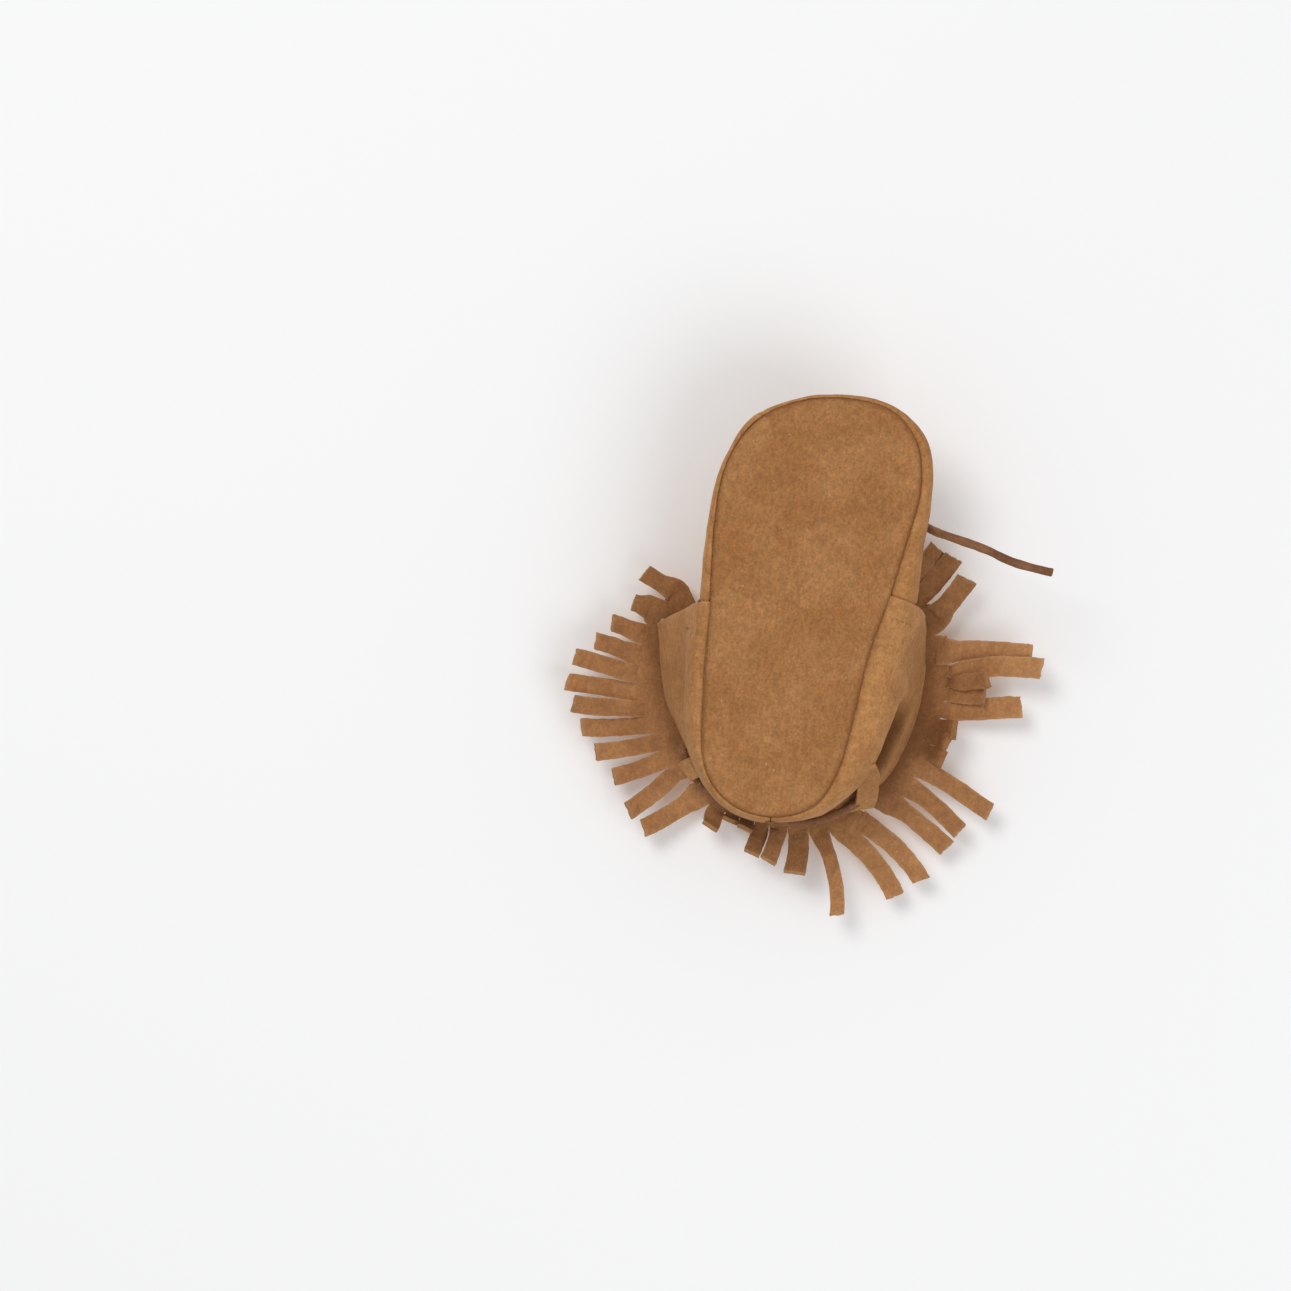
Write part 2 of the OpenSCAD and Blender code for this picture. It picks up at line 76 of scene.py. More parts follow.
SEAM_KNOTS = np.array([
    [10, -58.5], [19.5, -55.6], [26, -48], [28.2, -36], [26.4, -22], [23.9, -6], [20.6, 9],
    [18.9, 25], [16.9, 41], [11.5, 53], [0, 57.8], [-12, 55.4], [-20, 46], [-22.8, 28],
    [-24.5, 3], [-26.3, -20], [-25.2, -37], [-18, -50], [-5, -57]])
BULGE_KNOTS = np.array([
    1.5, 2.2, 3.6, 4.1, 5.8, 8.7, 10.6, 12.2, 9.2, 3.4, 2.2, 2.2, 2.8, 6, 3.6, 2.4, 1.8, 1.7, 1.2])
FLARE_KNOTS = np.array([12.6, 17.4, 19.1, 15.1, 4, -2.8, -2.3, 1.8, 10.8, 14.8, 16.6])
KNOTS = len(SEAM_KNOTS)
SIDE_MEDIAL, SIDE_LATERAL, HEEL = 5, 14, 10
LAP = 0.04
STEP = 0.09
LEAN_MEDIAL, LEAN_LATERAL = 0.25, 0.2
OUTSOLE_T, PAD_T, INSOLE_T, LEATHER_T, FRINGE_T = 1.6, 2.0, 1.0, 1.3, 1.2
TOE_H, INSTEP_H, COLLAR_FRONT_H, COLLAR_HEEL_H, DOME = 16, 28, 33, 37, 5
WALL_FOOT_Z = 1.4
CREASE_DEPTH, CREASE_AT, CREASE_WIDTH = 8, 0.6, 0.1
TUCK_SPAN = 0.42
TONGUE_W, TONGUE_LEN, TONGUE_RISE, TONGUE_Y, TONGUE_Z = 25, 24, 10, -8.4, 32.4
BAND_W, BAND_DROOP = 5.0, 6
LACE_D, THREAD_D = 2.4, 0.7
STRAP_W, STRAP_T = 5.2, 1.1
KNOT_AT = np.array([2, -17.4, 35.6])

LACE_FRONT_MEDIAL = [[5, -16.6, 36.2], [14, -12.5, 36], [23, -6, 35], [29, -0.5, 33.6]]
LACE_FRONT_LATERAL = [[-1, -16.6, 36.2], [-10, -12.8, 36], [-19, -6, 35], [-26.5, 2, 33.6]]
TAIL_MEDIAL = [
    [5.4, -18.6, 35.4], [9.6, -21.8, 34], [14.2, -25, 31.4], [18.6, -27.4, 28], [22.8, -28.6, 24.6],
    [26.8, -28.6, 21], [30.2, -27.8, 17.2], [32.8, -26.8, 12.8], [34.6, -26, 8.2], [36.6, -25.4, 4.2],
    [39.8, -24.7, 1.8], [44.4, -23.8, 1.25], [49.4, -22.6, 1.25], [54.6, -20.9, 1.25], [60.2, -19.9, 1.25],
    [67, -19.2, 1.25]]
TAIL_LATERAL = [
    [-1.4, -18.6, 35.4], [-4.2, -21.8, 34.4], [-6.6, -25.4, 33], [-8.2, -29.4, 31.4], [-9, -33.6, 29.6],
    [-8.8, -37.8, 27.6], [-7.6, -41.8, 25.4], [-5.4, -45.4, 23.2], [-2.4, -48.4, 21]]
LOOP_MEDIAL = [
    [24.2, 41.4, 6.4], [25.6, 43.6, 10.2], [26, 46, 14.4], [26.4, 48.6, 18.6], [26.5, 51, 23],
    [25.8, 53, 27], [24, 53.6, 30], [21.8, 53, 32.2]]

# Each fringe strip: length, heading and its change to the tip, droop and extra droop at the tip, twist at the
# tip, how far it hangs below its neighbours, width. The line before each list says where the slits are. A few
# strips are a little wider than in the CAD source, and three of them curl further under.
MEDIAL_SLITS = [4.38, 4.66, 4.92, 5.28, 5.72, 6.0, 6.27, 6.54, 6.84, 7.09, 7.33, 7.57, 7.82, 8.1, 8.44]
MEDIAL_STRIPS = [
    (13.0, -60, 4, 4, 6, 4, 0.0, 5.0), (15.0, -60, 3, 6, 6, -5, 0.5, 5.6),
    (15.0, -62, 2, 8, 6, 6, 1.2, 5.9), (26.5, -13.5, 11, 6, 2, -5, 0.6, 5.7),
    (27, -22, 17, 9, 4, 8, 1.7, 5.8), (13.5, -12, -8, 14, 34, 14, 2.4, 4.8),
    (12.0, -8, 4, 12, 20, -8, 0.8, 4.9), (22.5, -9, -2, 6, 4, 6, 0.0, 6.0),
    (12.5, 4, 8, 25, 115, 10, 1.2, 5.4), (12.5, 10, 8, 30, 112, -12, 0.4, 5.4),
    (12.0, 20, 8, 26, 110, 10, 0.8, 5.2), (23.5, 18, 12, 8, 2, 9, 0.8, 5.2),
    (20.0, 23, 18, 10, 8, -10, 0.2, 5.0), (21.0, 25, 7, 8, 6, 6, 0.0, 5.2)]
HEEL_SLITS = [8.56, 8.8, 9.03, 9.3, 9.62, 9.95, 10.25, 10.55, 10.85, 11.2, 11.68]
HEEL_STRIPS = [
    (25.0, 23, 25, 6, 6, 5, 0.2, 5.2), (25.5, 28, 31, 8, 6, -6, 0.0, 5.4),
    (25.0, 52, 38, 14, 6, 8, 0.8, 3.9), (14.5, 72, 36, 24, 20, 16, 0.4, 6.0),
    (12.5, 101, 6, 30, 20, -10, 0.8, 4.6), (12.0, 99, 8, 30, 20, 6, 0.0, 4.6),
    (8.0, 100, 8, 66, 20, 0, 0.6, 4.6), (7.5, 104, 8, 66, 30, 10, 0.0, 4.8),
    (9.5, 97, 6, 40, 30, -8, 0.5, 5.2), (19.0, 139, 4, 8, 10, 8, 0.0, 5.2)]
LATERAL_SLITS = [11.8, 12.03, 12.25, 12.47, 12.69, 12.9, 13.11, 13.32, 13.53, 13.76, 14.08, 14.46]
LATERAL_STRIPS = [
    (19.0, 128, 8, 10, 16, -8, 0.4, 5.2), (17.5, 146, 8, 8, 12, 6, 0.0, 5.0),
    (20.0, 160, 4, 12, 14, -6, 0.3, 4.8), (21.0, 168, 4, 6, 10, 5, 0.0, 4.8),
    (22.0, 175, 6, 12, 16, -7, 0.4, 4.8), (22.0, 183, 0, 6, 8, 5, 0.0, 4.8),
    (20.0, 188, 4, 14, 16, 6, 0.5, 4.8), (14.0, 190, 4, 8, 10, -6, 0.0, 4.8),
    (11.0, 190, 4, 12, 16, 8, 0.6, 4.8), (6.5, 182, 6, 6, 10, -5, 0.2, 4.8),
    (11.5, 196, 4, 6, 6, 6, 0.8, 5.0)]


# ---------------------------------------------------------------- the camera

ROLL = math.radians(8)
PICTURE_CENTRE = Vector((-0.0405, 0.0161))      # beside the sole: there is room for the other shoe
CAMERA_DISTANCE = 1.326
CAMERA_LENS = 135


def make_camera():
    """The camera looks straight up at the sole, rolled a little, with the toe at the top."""
    data = bpy.data.cameras.new("camera")
    data.lens = CAMERA_LENS
    data.clip_start = 0.01
    camera = bpy.data.objects.new("camera", data)
    bpy.context.scene.collection.objects.link(camera)
    right = Vector((math.cos(ROLL), -math.sin(ROLL), 0))
    up = Vector((-math.sin(ROLL), -math.cos(ROLL), 0))
    turn = Matrix((right, up, right.cross(up))).transposed().to_4x4()
    sole_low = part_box("outsole")[0]
    place = Vector((PICTURE_CENTRE.x, PICTURE_CENTRE.y, sole_low.z - CAMERA_DISTANCE))
    camera.matrix_world = Matrix.Translation(place) @ turn
    bpy.context.scene.camera = camera


# ---------------------------------------------------------------- curves, noise and surfaces

def spline(a, b, c, d, s):
    square = 2 * a - 5 * b + 4 * c - d
    cube = 3 * b - a - 3 * c + d
    return 0.5 * (2 * b + (c - a) * s + square * s * s + cube * s ** 3)


def around(table, t):
    """A closed smooth curve through the table's rows."""
    i = np.floor(t).astype(int)
    s = t - i
    if table.ndim > 1:
        s = s[..., None]
    n = len(table)
    return spline(table[(i - 1) % n], table[i % n], table[(i + 1) % n], table[(i + 2) % n], s)


def along(table, t):
    """An open smooth curve through the table's rows."""
    last = len(table) - 1
    i = np.clip(np.floor(t).astype(int), 0, last - 1)
    s = t - i
    if table.ndim > 1:
        s = s[..., None]
    return spline(table[np.maximum(i - 1, 0)], table[i], table[i + 1], table[np.minimum(i + 2, last)], s)


def unit(v):
    return v / np.maximum(np.linalg.norm(v, axis=-1, keepdims=True), 1e-12)


def mix(a, b, s):
    return a + (b - a) * s


def ramp(x):
    return np.clip(x, 0, 1)


def smooth(x):
    x = ramp(x)
    return x * x * (3 - 2 * x)


def lattice(i, j, k, seed):
    """A number from -1 to 1 for each corner of a cubic lattice."""
    h = (i.astype(np.uint32) * np.uint32(374761393) + j.astype(np.uint32) * np.uint32(668265263)
         + k.astype(np.uint32) * np.uint32(2246822519) + np.uint32(seed * 3266489917 % 2 ** 32))
    h ^= h >> np.uint32(13)
    h *= np.uint32(1274126177)
    h ^= h >> np.uint32(16)
    return h.astype(float) / 2147483648 - 1


def waves(p, size, seed):
    """Smooth noise from -1 to 1 at points p, with bumps about size across."""
    q = p / size
    cell = np.floor(q)
    f = q - cell
    f = f * f * (3 - 2 * f)
    c = cell.astype(np.int64)
    total = 0
    for dx in (0, 1):
        for dy in (0, 1):
            for dz in (0, 1):
                weight = np.abs(1 - dx - f[..., 0]) * np.abs(1 - dy - f[..., 1])
                weight = weight * np.abs(1 - dz - f[..., 2])
                total = total + weight * lattice(c[..., 0] + dx, c[..., 1] + dy, c[..., 2] + dz, seed)
    return total


def seam(t):
    return around(SEAM_KNOTS, t)


def outward(t):
    d = seam(t + 0.02) - seam(t - 0.02)
    return unit(np.stack([d[..., 1], -d[..., 0]], -1))


def from_toe(t):
    return np.abs(t - KNOTS)


def bezier(p, s):
    q = 1 - s
    return p[0] * q ** 3 + 3 * p[1] * s * q ** 2 + 3 * p[2] * s * s * q + p[3] * s ** 3


def at(t, off, z):
    p = seam(t) + off[..., None] * outward(t)
    return np.stack([p[..., 0], p[..., 1], z], -1)


def spread(t, s):
    return np.broadcast_arrays(np.asarray(t, float), np.asarray(s, float))


def toe_point(t, s):
    t, s = spread(t, s)
    b = around(BULGE_KNOTS, t)
    inset = mix(6.5, 10, np.sin(np.pi / 2 * np.minimum(1, from_toe(t) / 3)))
    h = mix(TOE_H, INSTEP_H, np.minimum(1, from_toe(t) / 5) ** 1.3)
    return at(t, bezier([0.1, b + 0.5, 1.7 * b + 0.9, -inset], s),
              bezier([WALL_FOOT_Z, WALL_FOOT_Z - 1.8, 0.55 * h, h], s))


def quarter_point(t, s):
    t, s = spread(t, s)
    b = around(BULGE_KNOTS, t)
    h = mix(COLLAR_HEEL_H, COLLAR_FRONT_H, np.minimum(1, np.abs(t - 9.5) / 4.5) ** 2)
    off = bezier([0.1, b + 0.6, 1.15 * b + 0.4, along(FLARE_KNOTS, t - SIDE_MEDIAL)], s)
    z = bezier([WALL_FOOT_Z, WALL_FOOT_Z - 1.8, 0.55 * h, h], s)
    crease = CREASE_DEPTH * np.sin(np.pi * ramp((t - 6.4) / 2.6)) ** 2
    proud = 0.9 * ramp(s / 0.15) * ramp((np.abs(t - HEEL) - 3.2) / 0.8)
    return at(t, off + proud - crease * np.exp(-((s - CREASE_AT) / CREASE_WIDTH) ** 2), z)


def normal_of(surface, t, s):
    along_t = surface(t + 0.01, s) - surface(t - 0.01, s)
    along_s = surface(t, s + 0.01) - surface(t, s - 0.01)
    return unit(np.cross(along_t, along_s))


def inside_of(surface, t, s, depth):
    """The point depth under an upper surface."""
    t, s = spread(t, s)
    depth = np.broadcast_to(depth, t.shape)
    return surface(t, s) - depth[..., None] * normal_of(surface, t, s)


def apron_edge(t):
    n = outward(t)
    way = np.stack([n[..., 0], n[..., 1], np.full(t.shape, -0.35)], -1)
    return inside_of(toe_point, t, 1.0, LEATHER_T / 2) - 0.9 * way


def apron_point(v, w):
    v, w = spread(v, w)
    middle = mix(apron_edge(KNOTS - 4.6 * v), apron_edge(KNOTS + 5 * v), ((w + 1) / 2)[..., None])
    return middle + np.stack([0 * v, 0 * v, DOME * v ** 0.7 * (1 - w * w)], -1)


def tongue_point(s, w):
    s, w = spread(s, w)
    half = TONGUE_W / 2 * np.sqrt(np.maximum(0, 1 - (np.maximum(0, s - 0.72) / 0.3) ** 2))
    return np.stack([w * half + 1.5, TONGUE_Y + TONGUE_LEN * s,
                     TONGUE_Z + TONGUE_RISE * s + 2.6 * (1 - w * w) - 2.6], -1)


# The fringe's root line is the collar. At each end it turns inward over the throat, first on an arc and then
# straight.
CORNER_MEDIAL, CORNER_LATERAL = SIDE_MEDIAL + LAP + LEAN_MEDIAL, SIDE_LATERAL - LAP - LEAN_LATERAL
BEND_RADIUS = 5.0
BEND_MOST = math.radians(60)
KNOT_LENGTH = 20.0


def root_line(t):
    """The root point and the outward direction of the fringe at t."""
    inside = np.clip(t, CORNER_MEDIAL, CORNER_LATERAL)
    n = outward(inside)
    past = (inside - t) * KNOT_LENGTH
    angle = np.minimum(np.abs(past) / BEND_RADIUS, BEND_MOST)
    rest = np.abs(past) - angle * BEND_RADIUS
    side = np.where(past > 0, 1.0, -1.0)[..., None] * np.stack([n[..., 1], -n[..., 0]], -1)
    ahead = BEND_RADIUS * np.sin(angle) + rest * np.cos(angle)
    inward = BEND_RADIUS * (1 - np.cos(angle)) + rest * np.sin(angle)
    run = ahead[..., None] * side - inward[..., None] * n
    p = quarter_point(inside, 1.0) + np.concatenate([run, np.zeros(run.shape[:-1] + (1,))], -1)
    return p, np.cos(angle)[..., None] * n + np.sin(angle)[..., None] * side


def band_reach(t):
    """Width of the uncut band, which gets narrow at the two front corners."""
    return BAND_W * (1 - 0.75 * smooth(np.maximum(CORNER_MEDIAL + 0.5 - t, t - CORNER_LATERAL + 0.5) / 0.4))


def band_point(t, r):
    """The top of the fringe's uncut band: r = 0 at its root and 1 where the strips begin."""
    t, r = spread(t, r)
    p, n = root_line(t)
    d = math.radians(BAND_DROOP)
    way = np.stack([n[..., 0] * math.cos(d), n[..., 1] * math.cos(d), np.full(t.shape, -math.sin(d))], -1)
    return p + (0.9 + r * band_reach(t))[..., None] * way - np.array([0, 0, 0.3])


# ---------------------------------------------------------------- meshes

def grid_faces(n, m, start=0, flip=False):
    faces = []
    for i in range(n - 1):
        for j in range(m - 1):
            a = start + i * m + j
            quad = (a, a + 1, a + m + 1, a + m)
            faces.append(quad[::-1] if flip else quad)
    return faces


def build(name, points, faces, node, body, slot, material, sharp=50, merge=0.0, **fields):
    """A mesh piece from points in millimetres, with named values per vertex. It stands for a CAD node."""
    mesh = bpy.data.meshes.new(name)
    mesh.from_pydata((np.asarray(points, float) * MM).tolist(), [], faces)
    for field, values in fields.items():
        attribute = mesh.attributes.new(field, "FLOAT", "POINT")
        attribute.data.foreach_set("value", np.asarray(values, np.float32))
    mesh.shade_smooth()
    mesh.set_sharp_from_angle(angle=math.radians(sharp))
    mesh.materials.append(material)
    piece = bpy.data.objects.new(name, mesh)
    bpy.context.scene.collection.objects.link(piece)
    if merge:
        weld = piece.modifiers.new("weld", "WELD")
        weld.merge_threshold = merge * MM
        bpy.context.view_layer.update()
        evaluated = piece.evaluated_get(bpy.context.evaluated_depsgraph_get())
        piece.modifiers.clear()
        piece.data = bpy.data.meshes.new_from_object(evaluated)
    if body:
        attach(piece, body)
    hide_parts(node)
    return piece


def rim(top, low, faces, base, rows, cols, bulge):
    """Closes the border between a top and a low grid with a rounded cut edge; gives the new points."""
    loop = ([(0, j) for j in range(cols)] + [(i, cols - 1) for i in range(1, rows)]
            + [(rows - 1, j) for j in range(cols - 2, -1, -1)] + [(i, 0) for i in range(rows - 2, 0, -1)])
    ij = np.array(loop)
    inner = np.stack([np.clip(ij[:, 0], 1, rows - 2), np.clip(ij[:, 1], 1, cols - 2)], -1)
    edge_top, edge_low = top[ij[:, 0], ij[:, 1]], low[ij[:, 0], ij[:, 1]]
    away = unit(edge_top - top[inner[:, 0], inner[:, 1]])
    middle = (edge_top + edge_low) / 2 + away * bulge
    count = len(loop)
    half = rows * cols
    for k in range(count):
        a, b = ij[k], ij[(k + 1) % count]
        ta, tb = a[0] * cols + a[1], b[0] * cols + b[1]
        ma, mb = base + k, base + (k + 1) % count
        faces.append((int(ta), int(tb), int(mb), int(ma)))
        faces.append((int(ma), int(mb), int(half + tb), int(half + ta)))
    return middle


def panel(name, top, thick, node, body, slot, material, sign=1, cuts=(1, 1, 1, 1), deep=None, back=1.0):
    """A leather panel: a grid of points on its outer face, and its thickness.

    cuts says which borders are cut edges, and back how pale the reverse of the suede is.
    """
    rows, cols = top.shape[:2]
    du, dv = np.gradient(top, axis=0), np.gradient(top, axis=1)
    normal = unit(np.cross(du, dv)) * sign
    low = top - normal * thick
    faces = grid_faces(rows, cols, 0, sign < 0) + grid_faces(rows, cols, rows * cols, sign > 0)
    middle = rim(top, low, faces, 2 * rows * cols, rows, cols, 0.12)
    if sign < 0:
        faces = faces[:2 * (rows - 1) * (cols - 1)] + [f[::-1] for f in faces[2 * (rows - 1) * (cols - 1):]]
    run_u = np.cumsum(np.linalg.norm(du, axis=-1), axis=0)
    run_v = np.cumsum(np.linalg.norm(dv, axis=-1), axis=1)
    far = np.full((rows, cols), 99.0)
    ends = (run_u, run_u[-1:] - run_u, run_v, run_v[:, -1:] - run_v)
    for cut, distance in zip(cuts, ends):
        if cut:
            far = np.minimum(far, distance)
    edge = np.exp(-far / 0.7)
    # The optional grid of painted shade per point goes on both faces; the rim gets none.
    painted_shade_grid = np.zeros((rows, cols)) if deep is None else deep
    border = np.full(len(middle), 1.0 if all(cuts) else 0.6)
    points = np.concatenate([top.reshape(-1, 3), low.reshape(-1, 3), middle])
    return build(name, points, faces, node, body, slot, material,
                 edge=np.concatenate([edge.ravel(), edge.ravel(), border]),
                 deep=np.concatenate([painted_shade_grid.ravel(), painted_shade_grid.ravel(), np.zeros(len(middle))]),
                 lining=np.concatenate([np.zeros(rows * cols), np.full(rows * cols, back),
                                        np.full(len(middle), back / 2)]))


def smooth_path(points, per_span):
    table = np.array(points, float)
    return along(table, np.linspace(0, len(table) - 1, (len(table) - 1) * per_span + 1))


def transported(path):
    """The two directions across a path, that don't spin along it."""
    way = unit(np.gradient(path, axis=0))
    side = unit(np.cross(way[0], [0.1, 0.2, 1.0]))
    sides = []
    for d in way:
        side = unit(side - d * np.dot(side, d))
        sides.append(side)
    sides = np.array(sides)
    return sides, np.cross(way, sides)


def tube_points(path, diameter, sides, square, rough, twist, seed):
    """Rings of a lace along a path: a rounded square that varies a little in thickness."""
    side, up = transported(path)
    run = np.concatenate([[0], np.cumsum(np.linalg.norm(np.diff(path, axis=0), axis=1))])
    a = np.linspace(0, 2 * np.pi, sides, endpoint=False)
    turned = a[None, :] + twist * run[:, None]
    shape = (np.abs(np.cos(a)) ** square + np.abs(np.sin(a)) ** square) ** (-1 / square)
    radius = diameter / 2 * 0.96 * shape[None, :]
    ring = np.cos(turned)[..., None] * side[:, None] + np.sin(turned)[..., None] * up[:, None]
    p = path[:, None] + ring * radius[..., None]
    p = p + ring * (rough * waves(p, 1.1, seed) + 1.2 * rough * waves(p, 3.7, seed + 1))[..., None]
    return p


def tube_faces(rows, sides, start=0, closed=False):
    faces = []
    for i in range(rows if closed else rows - 1):
        for j in range(sides):
            a, b = start + i * sides + j, start + i * sides + (j + 1) % sides
            c, d = start + (i + 1) % rows * sides + (j + 1) % sides, start + (i + 1) % rows * sides + j
            faces.append((a, b, c, d))
    return faces


def lace(name, path, node, material, seed, closed=False, twist=0.12, diameter=LACE_D):
    sides = 18
    rings = tube_points(path, diameter, sides, 2.7, 0.06, twist, seed)
    points = rings.reshape(-1, 3)
    faces = tube_faces(len(path), sides, 0, closed)
    edge = np.zeros(len(points))
    if not closed:
        for row, out in ((0, -1), (len(path) - 1, 1)):
            way = unit(path[row] - path[row - out])
            ring = rings[row]
            centre = ring.mean(0)
            lip = centre + (ring - centre) * 0.82 + way * 0.28
            first = len(points)
            points = np.concatenate([points, lip, [centre + way * 0.32]])
            edge = np.concatenate([edge, np.ones(sides + 1)])
            for j in range(sides):
                a, b = row * sides + j, row * sides + (j + 1) % sides
                c, d = first + (j + 1) % sides, first + j
                quad = (a, b, c, d) if out > 0 else (d, c, b, a)
                faces.append(quad)
                cap = (d, c, first + sides) if out > 0 else (first + sides, c, d)
                faces.append(cap)
    return build(name, points, faces, node, "shoe", "lace_leather", material, sharp=60,
                 edge=edge, deep=np.zeros(len(points)), lining=np.zeros(len(points)))


def stitches(name, rows, node, body, material, height=0.3, sink=0.55, diameter=THREAD_D):
    """Short threads, each from one point to another over the leather: rows of (from, to, outward)."""
    sides, steps = 8, 9
    points, faces = [], []
    for k, (a, b, n) in enumerate(rows):
        s = np.linspace(0, 1, steps)[:, None]
        arc = np.sin(np.pi * s) ** 0.6
        path = mix(np.asarray(a), np.asarray(b), s) + np.asarray(n) * (arc * (height + sink) - sink)
        ring = tube_points(path, diameter, sides, 2.0, 0.03, 1.4, 70 + k % 9)
        faces += tube_faces(steps, sides, len(points) * steps * sides)
        start = len(points) * steps * sides
        faces.append(tuple(start + j for j in range(sides - 1, -1, -1)))
        faces.append(tuple(start + (steps - 1) * sides + j for j in range(sides)))
        points.append(ring.reshape(-1, 3))
    return build(name, np.concatenate(points), faces, node, body, "thread", material, sharp=60)


# ---------------------------------------------------------------- materials

def put(tree, kind, settings=None, **sockets):
    """Adds a node; a socket's value is a number, a colour or another node's output."""
    made = tree.nodes.new(kind)
    for key, value in (settings or {}).items():
        setattr(made, key, value)
    for key, value in sockets.items():
        socket = made.inputs[key.replace("_", " ")]
        if isinstance(value, bpy.types.NodeSocket):
            tree.links.new(value, socket)
        else:
            socket.default_value = value
    return made


def blend_colour(tree, factor, a, b, how="MIX"):
    made = tree.nodes.new("ShaderNodeMix")
    made.data_type = "RGBA"
    made.blend_type = how
    for index, value in ((0, factor), (6, a), (7, b)):
        if isinstance(value, bpy.types.NodeSocket):
            tree.links.new(value, made.inputs[index])
        else:
            made.inputs[index].default_value = value if index == 0 else (*value, 1)
    return made.outputs[2]


def noise(tree, place, scale, detail, roughness, distortion=0.0):
    made = put(tree, "ShaderNodeTexNoise", Vector=place, Scale=scale, Detail=detail, Roughness=roughness,
               Distortion=distortion)
    return made.outputs["Fac"]


def fit(tree, value, low, high, out_low=0.0, out_high=1.0):
    made = put(tree, "ShaderNodeMapRange", {"interpolation_type": "SMOOTHSTEP"}, Value=value, From_Min=low,
               From_Max=high, To_Min=out_low, To_Max=out_high)
    return made.outputs[0]


def times(tree, a, b):
    made = tree.nodes.new("ShaderNodeMath")
    made.operation = "MULTIPLY"
    for socket, value in zip(made.inputs, (a, b)):
        if isinstance(value, bpy.types.NodeSocket):
            tree.links.new(value, socket)
        else:
            socket.default_value = value
    return made.outputs[0]


def field(tree, name):
    return put(tree, "ShaderNodeAttribute", {"attribute_name": name}).outputs["Fac"]


def new_material(name):
    material = bpy.data.materials.new(name)
    material.use_nodes = True
    return material, material.node_tree, material.node_tree.nodes["Principled BSDF"]


def suede(name, light, dark, red, pale, nap=1.0, blotch=0.5, seed=0.0, shade=0.85):
    """Brushed suede: soft mottling, reddish blotches, nap, pale fibres and cut edges, and painted shade in
    hollows, creases and seam grooves.
    """
    material, tree, shader = new_material(name)
    place = put(tree, "ShaderNodeTexCoord").outputs["Object"]
    place = put(tree, "ShaderNodeMapping", Vector=place, Location=(seed, seed * 0.7, -seed)).outputs[0]
    brushed = put(tree, "ShaderNodeMapping", Vector=place, Rotation=(0, 0, 0.25), Scale=(1.0, 0.5, 0.8))
    brushed = brushed.outputs[0]
    colour = blend_colour(tree, fit(tree, noise(tree, place, 55, 3, 0.55, 0.4), 0.35, 0.65), dark, light)
    spots = fit(tree, noise(tree, place, 150, 4, 0.62, 0.5), 0.5, 0.74)
    colour = blend_colour(tree, times(tree, spots, blotch), colour, red)
    cloud = fit(tree, noise(tree, place, 330, 4, 0.7), 0.36, 0.66, 0.92, 1.07)
    grain = fit(tree, noise(tree, place, 1250, 5, 0.8), 0.3, 0.7, 0.8, 1.18)
    stroke = fit(tree, noise(tree, brushed, 850, 3, 0.7), 0.34, 0.68, 0.9, 1.08)
    scuff = fit(tree, noise(tree, brushed, 260, 3, 0.6, 2.6), 0.6, 0.68, 1.0, 0.88)
    tone = times(tree, times(tree, cloud, scuff), times(tree, grain, stroke))
    grey = put(tree, "ShaderNodeCombineColor", Red=tone, Green=tone, Blue=tone).outputs[0]
    colour = blend_colour(tree, 1.0, colour, grey, "MULTIPLY")
    fibres = fit(tree, noise(tree, place, 700, 2, 0.5), 0.7, 0.78)
    colour = blend_colour(tree, times(tree, fibres, 0.55), colour, pale)
    colour = blend_colour(tree, times(tree, field(tree, "lining"), 0.35), colour, pale)
    worn = times(tree, field(tree, "edge"), fit(tree, noise(tree, place, 900, 3, 0.6), 0.3, 0.6, 0.08, 0.34))
    colour = blend_colour(tree, worn, colour, pale)
    # Painted shade: mixes towards a near-black brown by the per-point painted shade attribute.
    under = times(tree, field(tree, "deep"), shade)
    colour = blend_colour(tree, under, colour, (0.22 * dark[0], 0.15 * dark[1], 0.1 * dark[2]))
    tree.links.new(colour, shader.inputs["Base Color"])
    rough = fit(tree, noise(tree, place, 1100, 3, 0.6), 0.3, 0.7, 0.86, 0.99)
    tree.links.new(rough, shader.inputs["Roughness"])
    shader.inputs["Specular IOR Level"].default_value = 0.15
    shader.inputs["Sheen Weight"].default_value = 0.2
    shader.inputs["Sheen Roughness"].default_value = 0.45
    shader.inputs["Sheen Tint"].default_value = (1.0, 0.66, 0.4, 1)
    low = put(tree, "ShaderNodeBump", Strength=0.55 * nap, Distance=0.0005,
              Height=noise(tree, place, 420, 4, 0.65))
    mid = put(tree, "ShaderNodeBump", Strength=0.6 * nap, Distance=0.0003,
              Height=noise(tree, brushed, 1300, 4, 0.75), Normal=low.outputs[0])
    high = put(tree, "ShaderNodeBump", Strength=0.5 * nap, Distance=0.00012,
               Height=noise(tree, place, 3600, 3, 0.7), Normal=mid.outputs[0])
    tree.links.new(high.outputs[0], shader.inputs["Normal"])
    return material


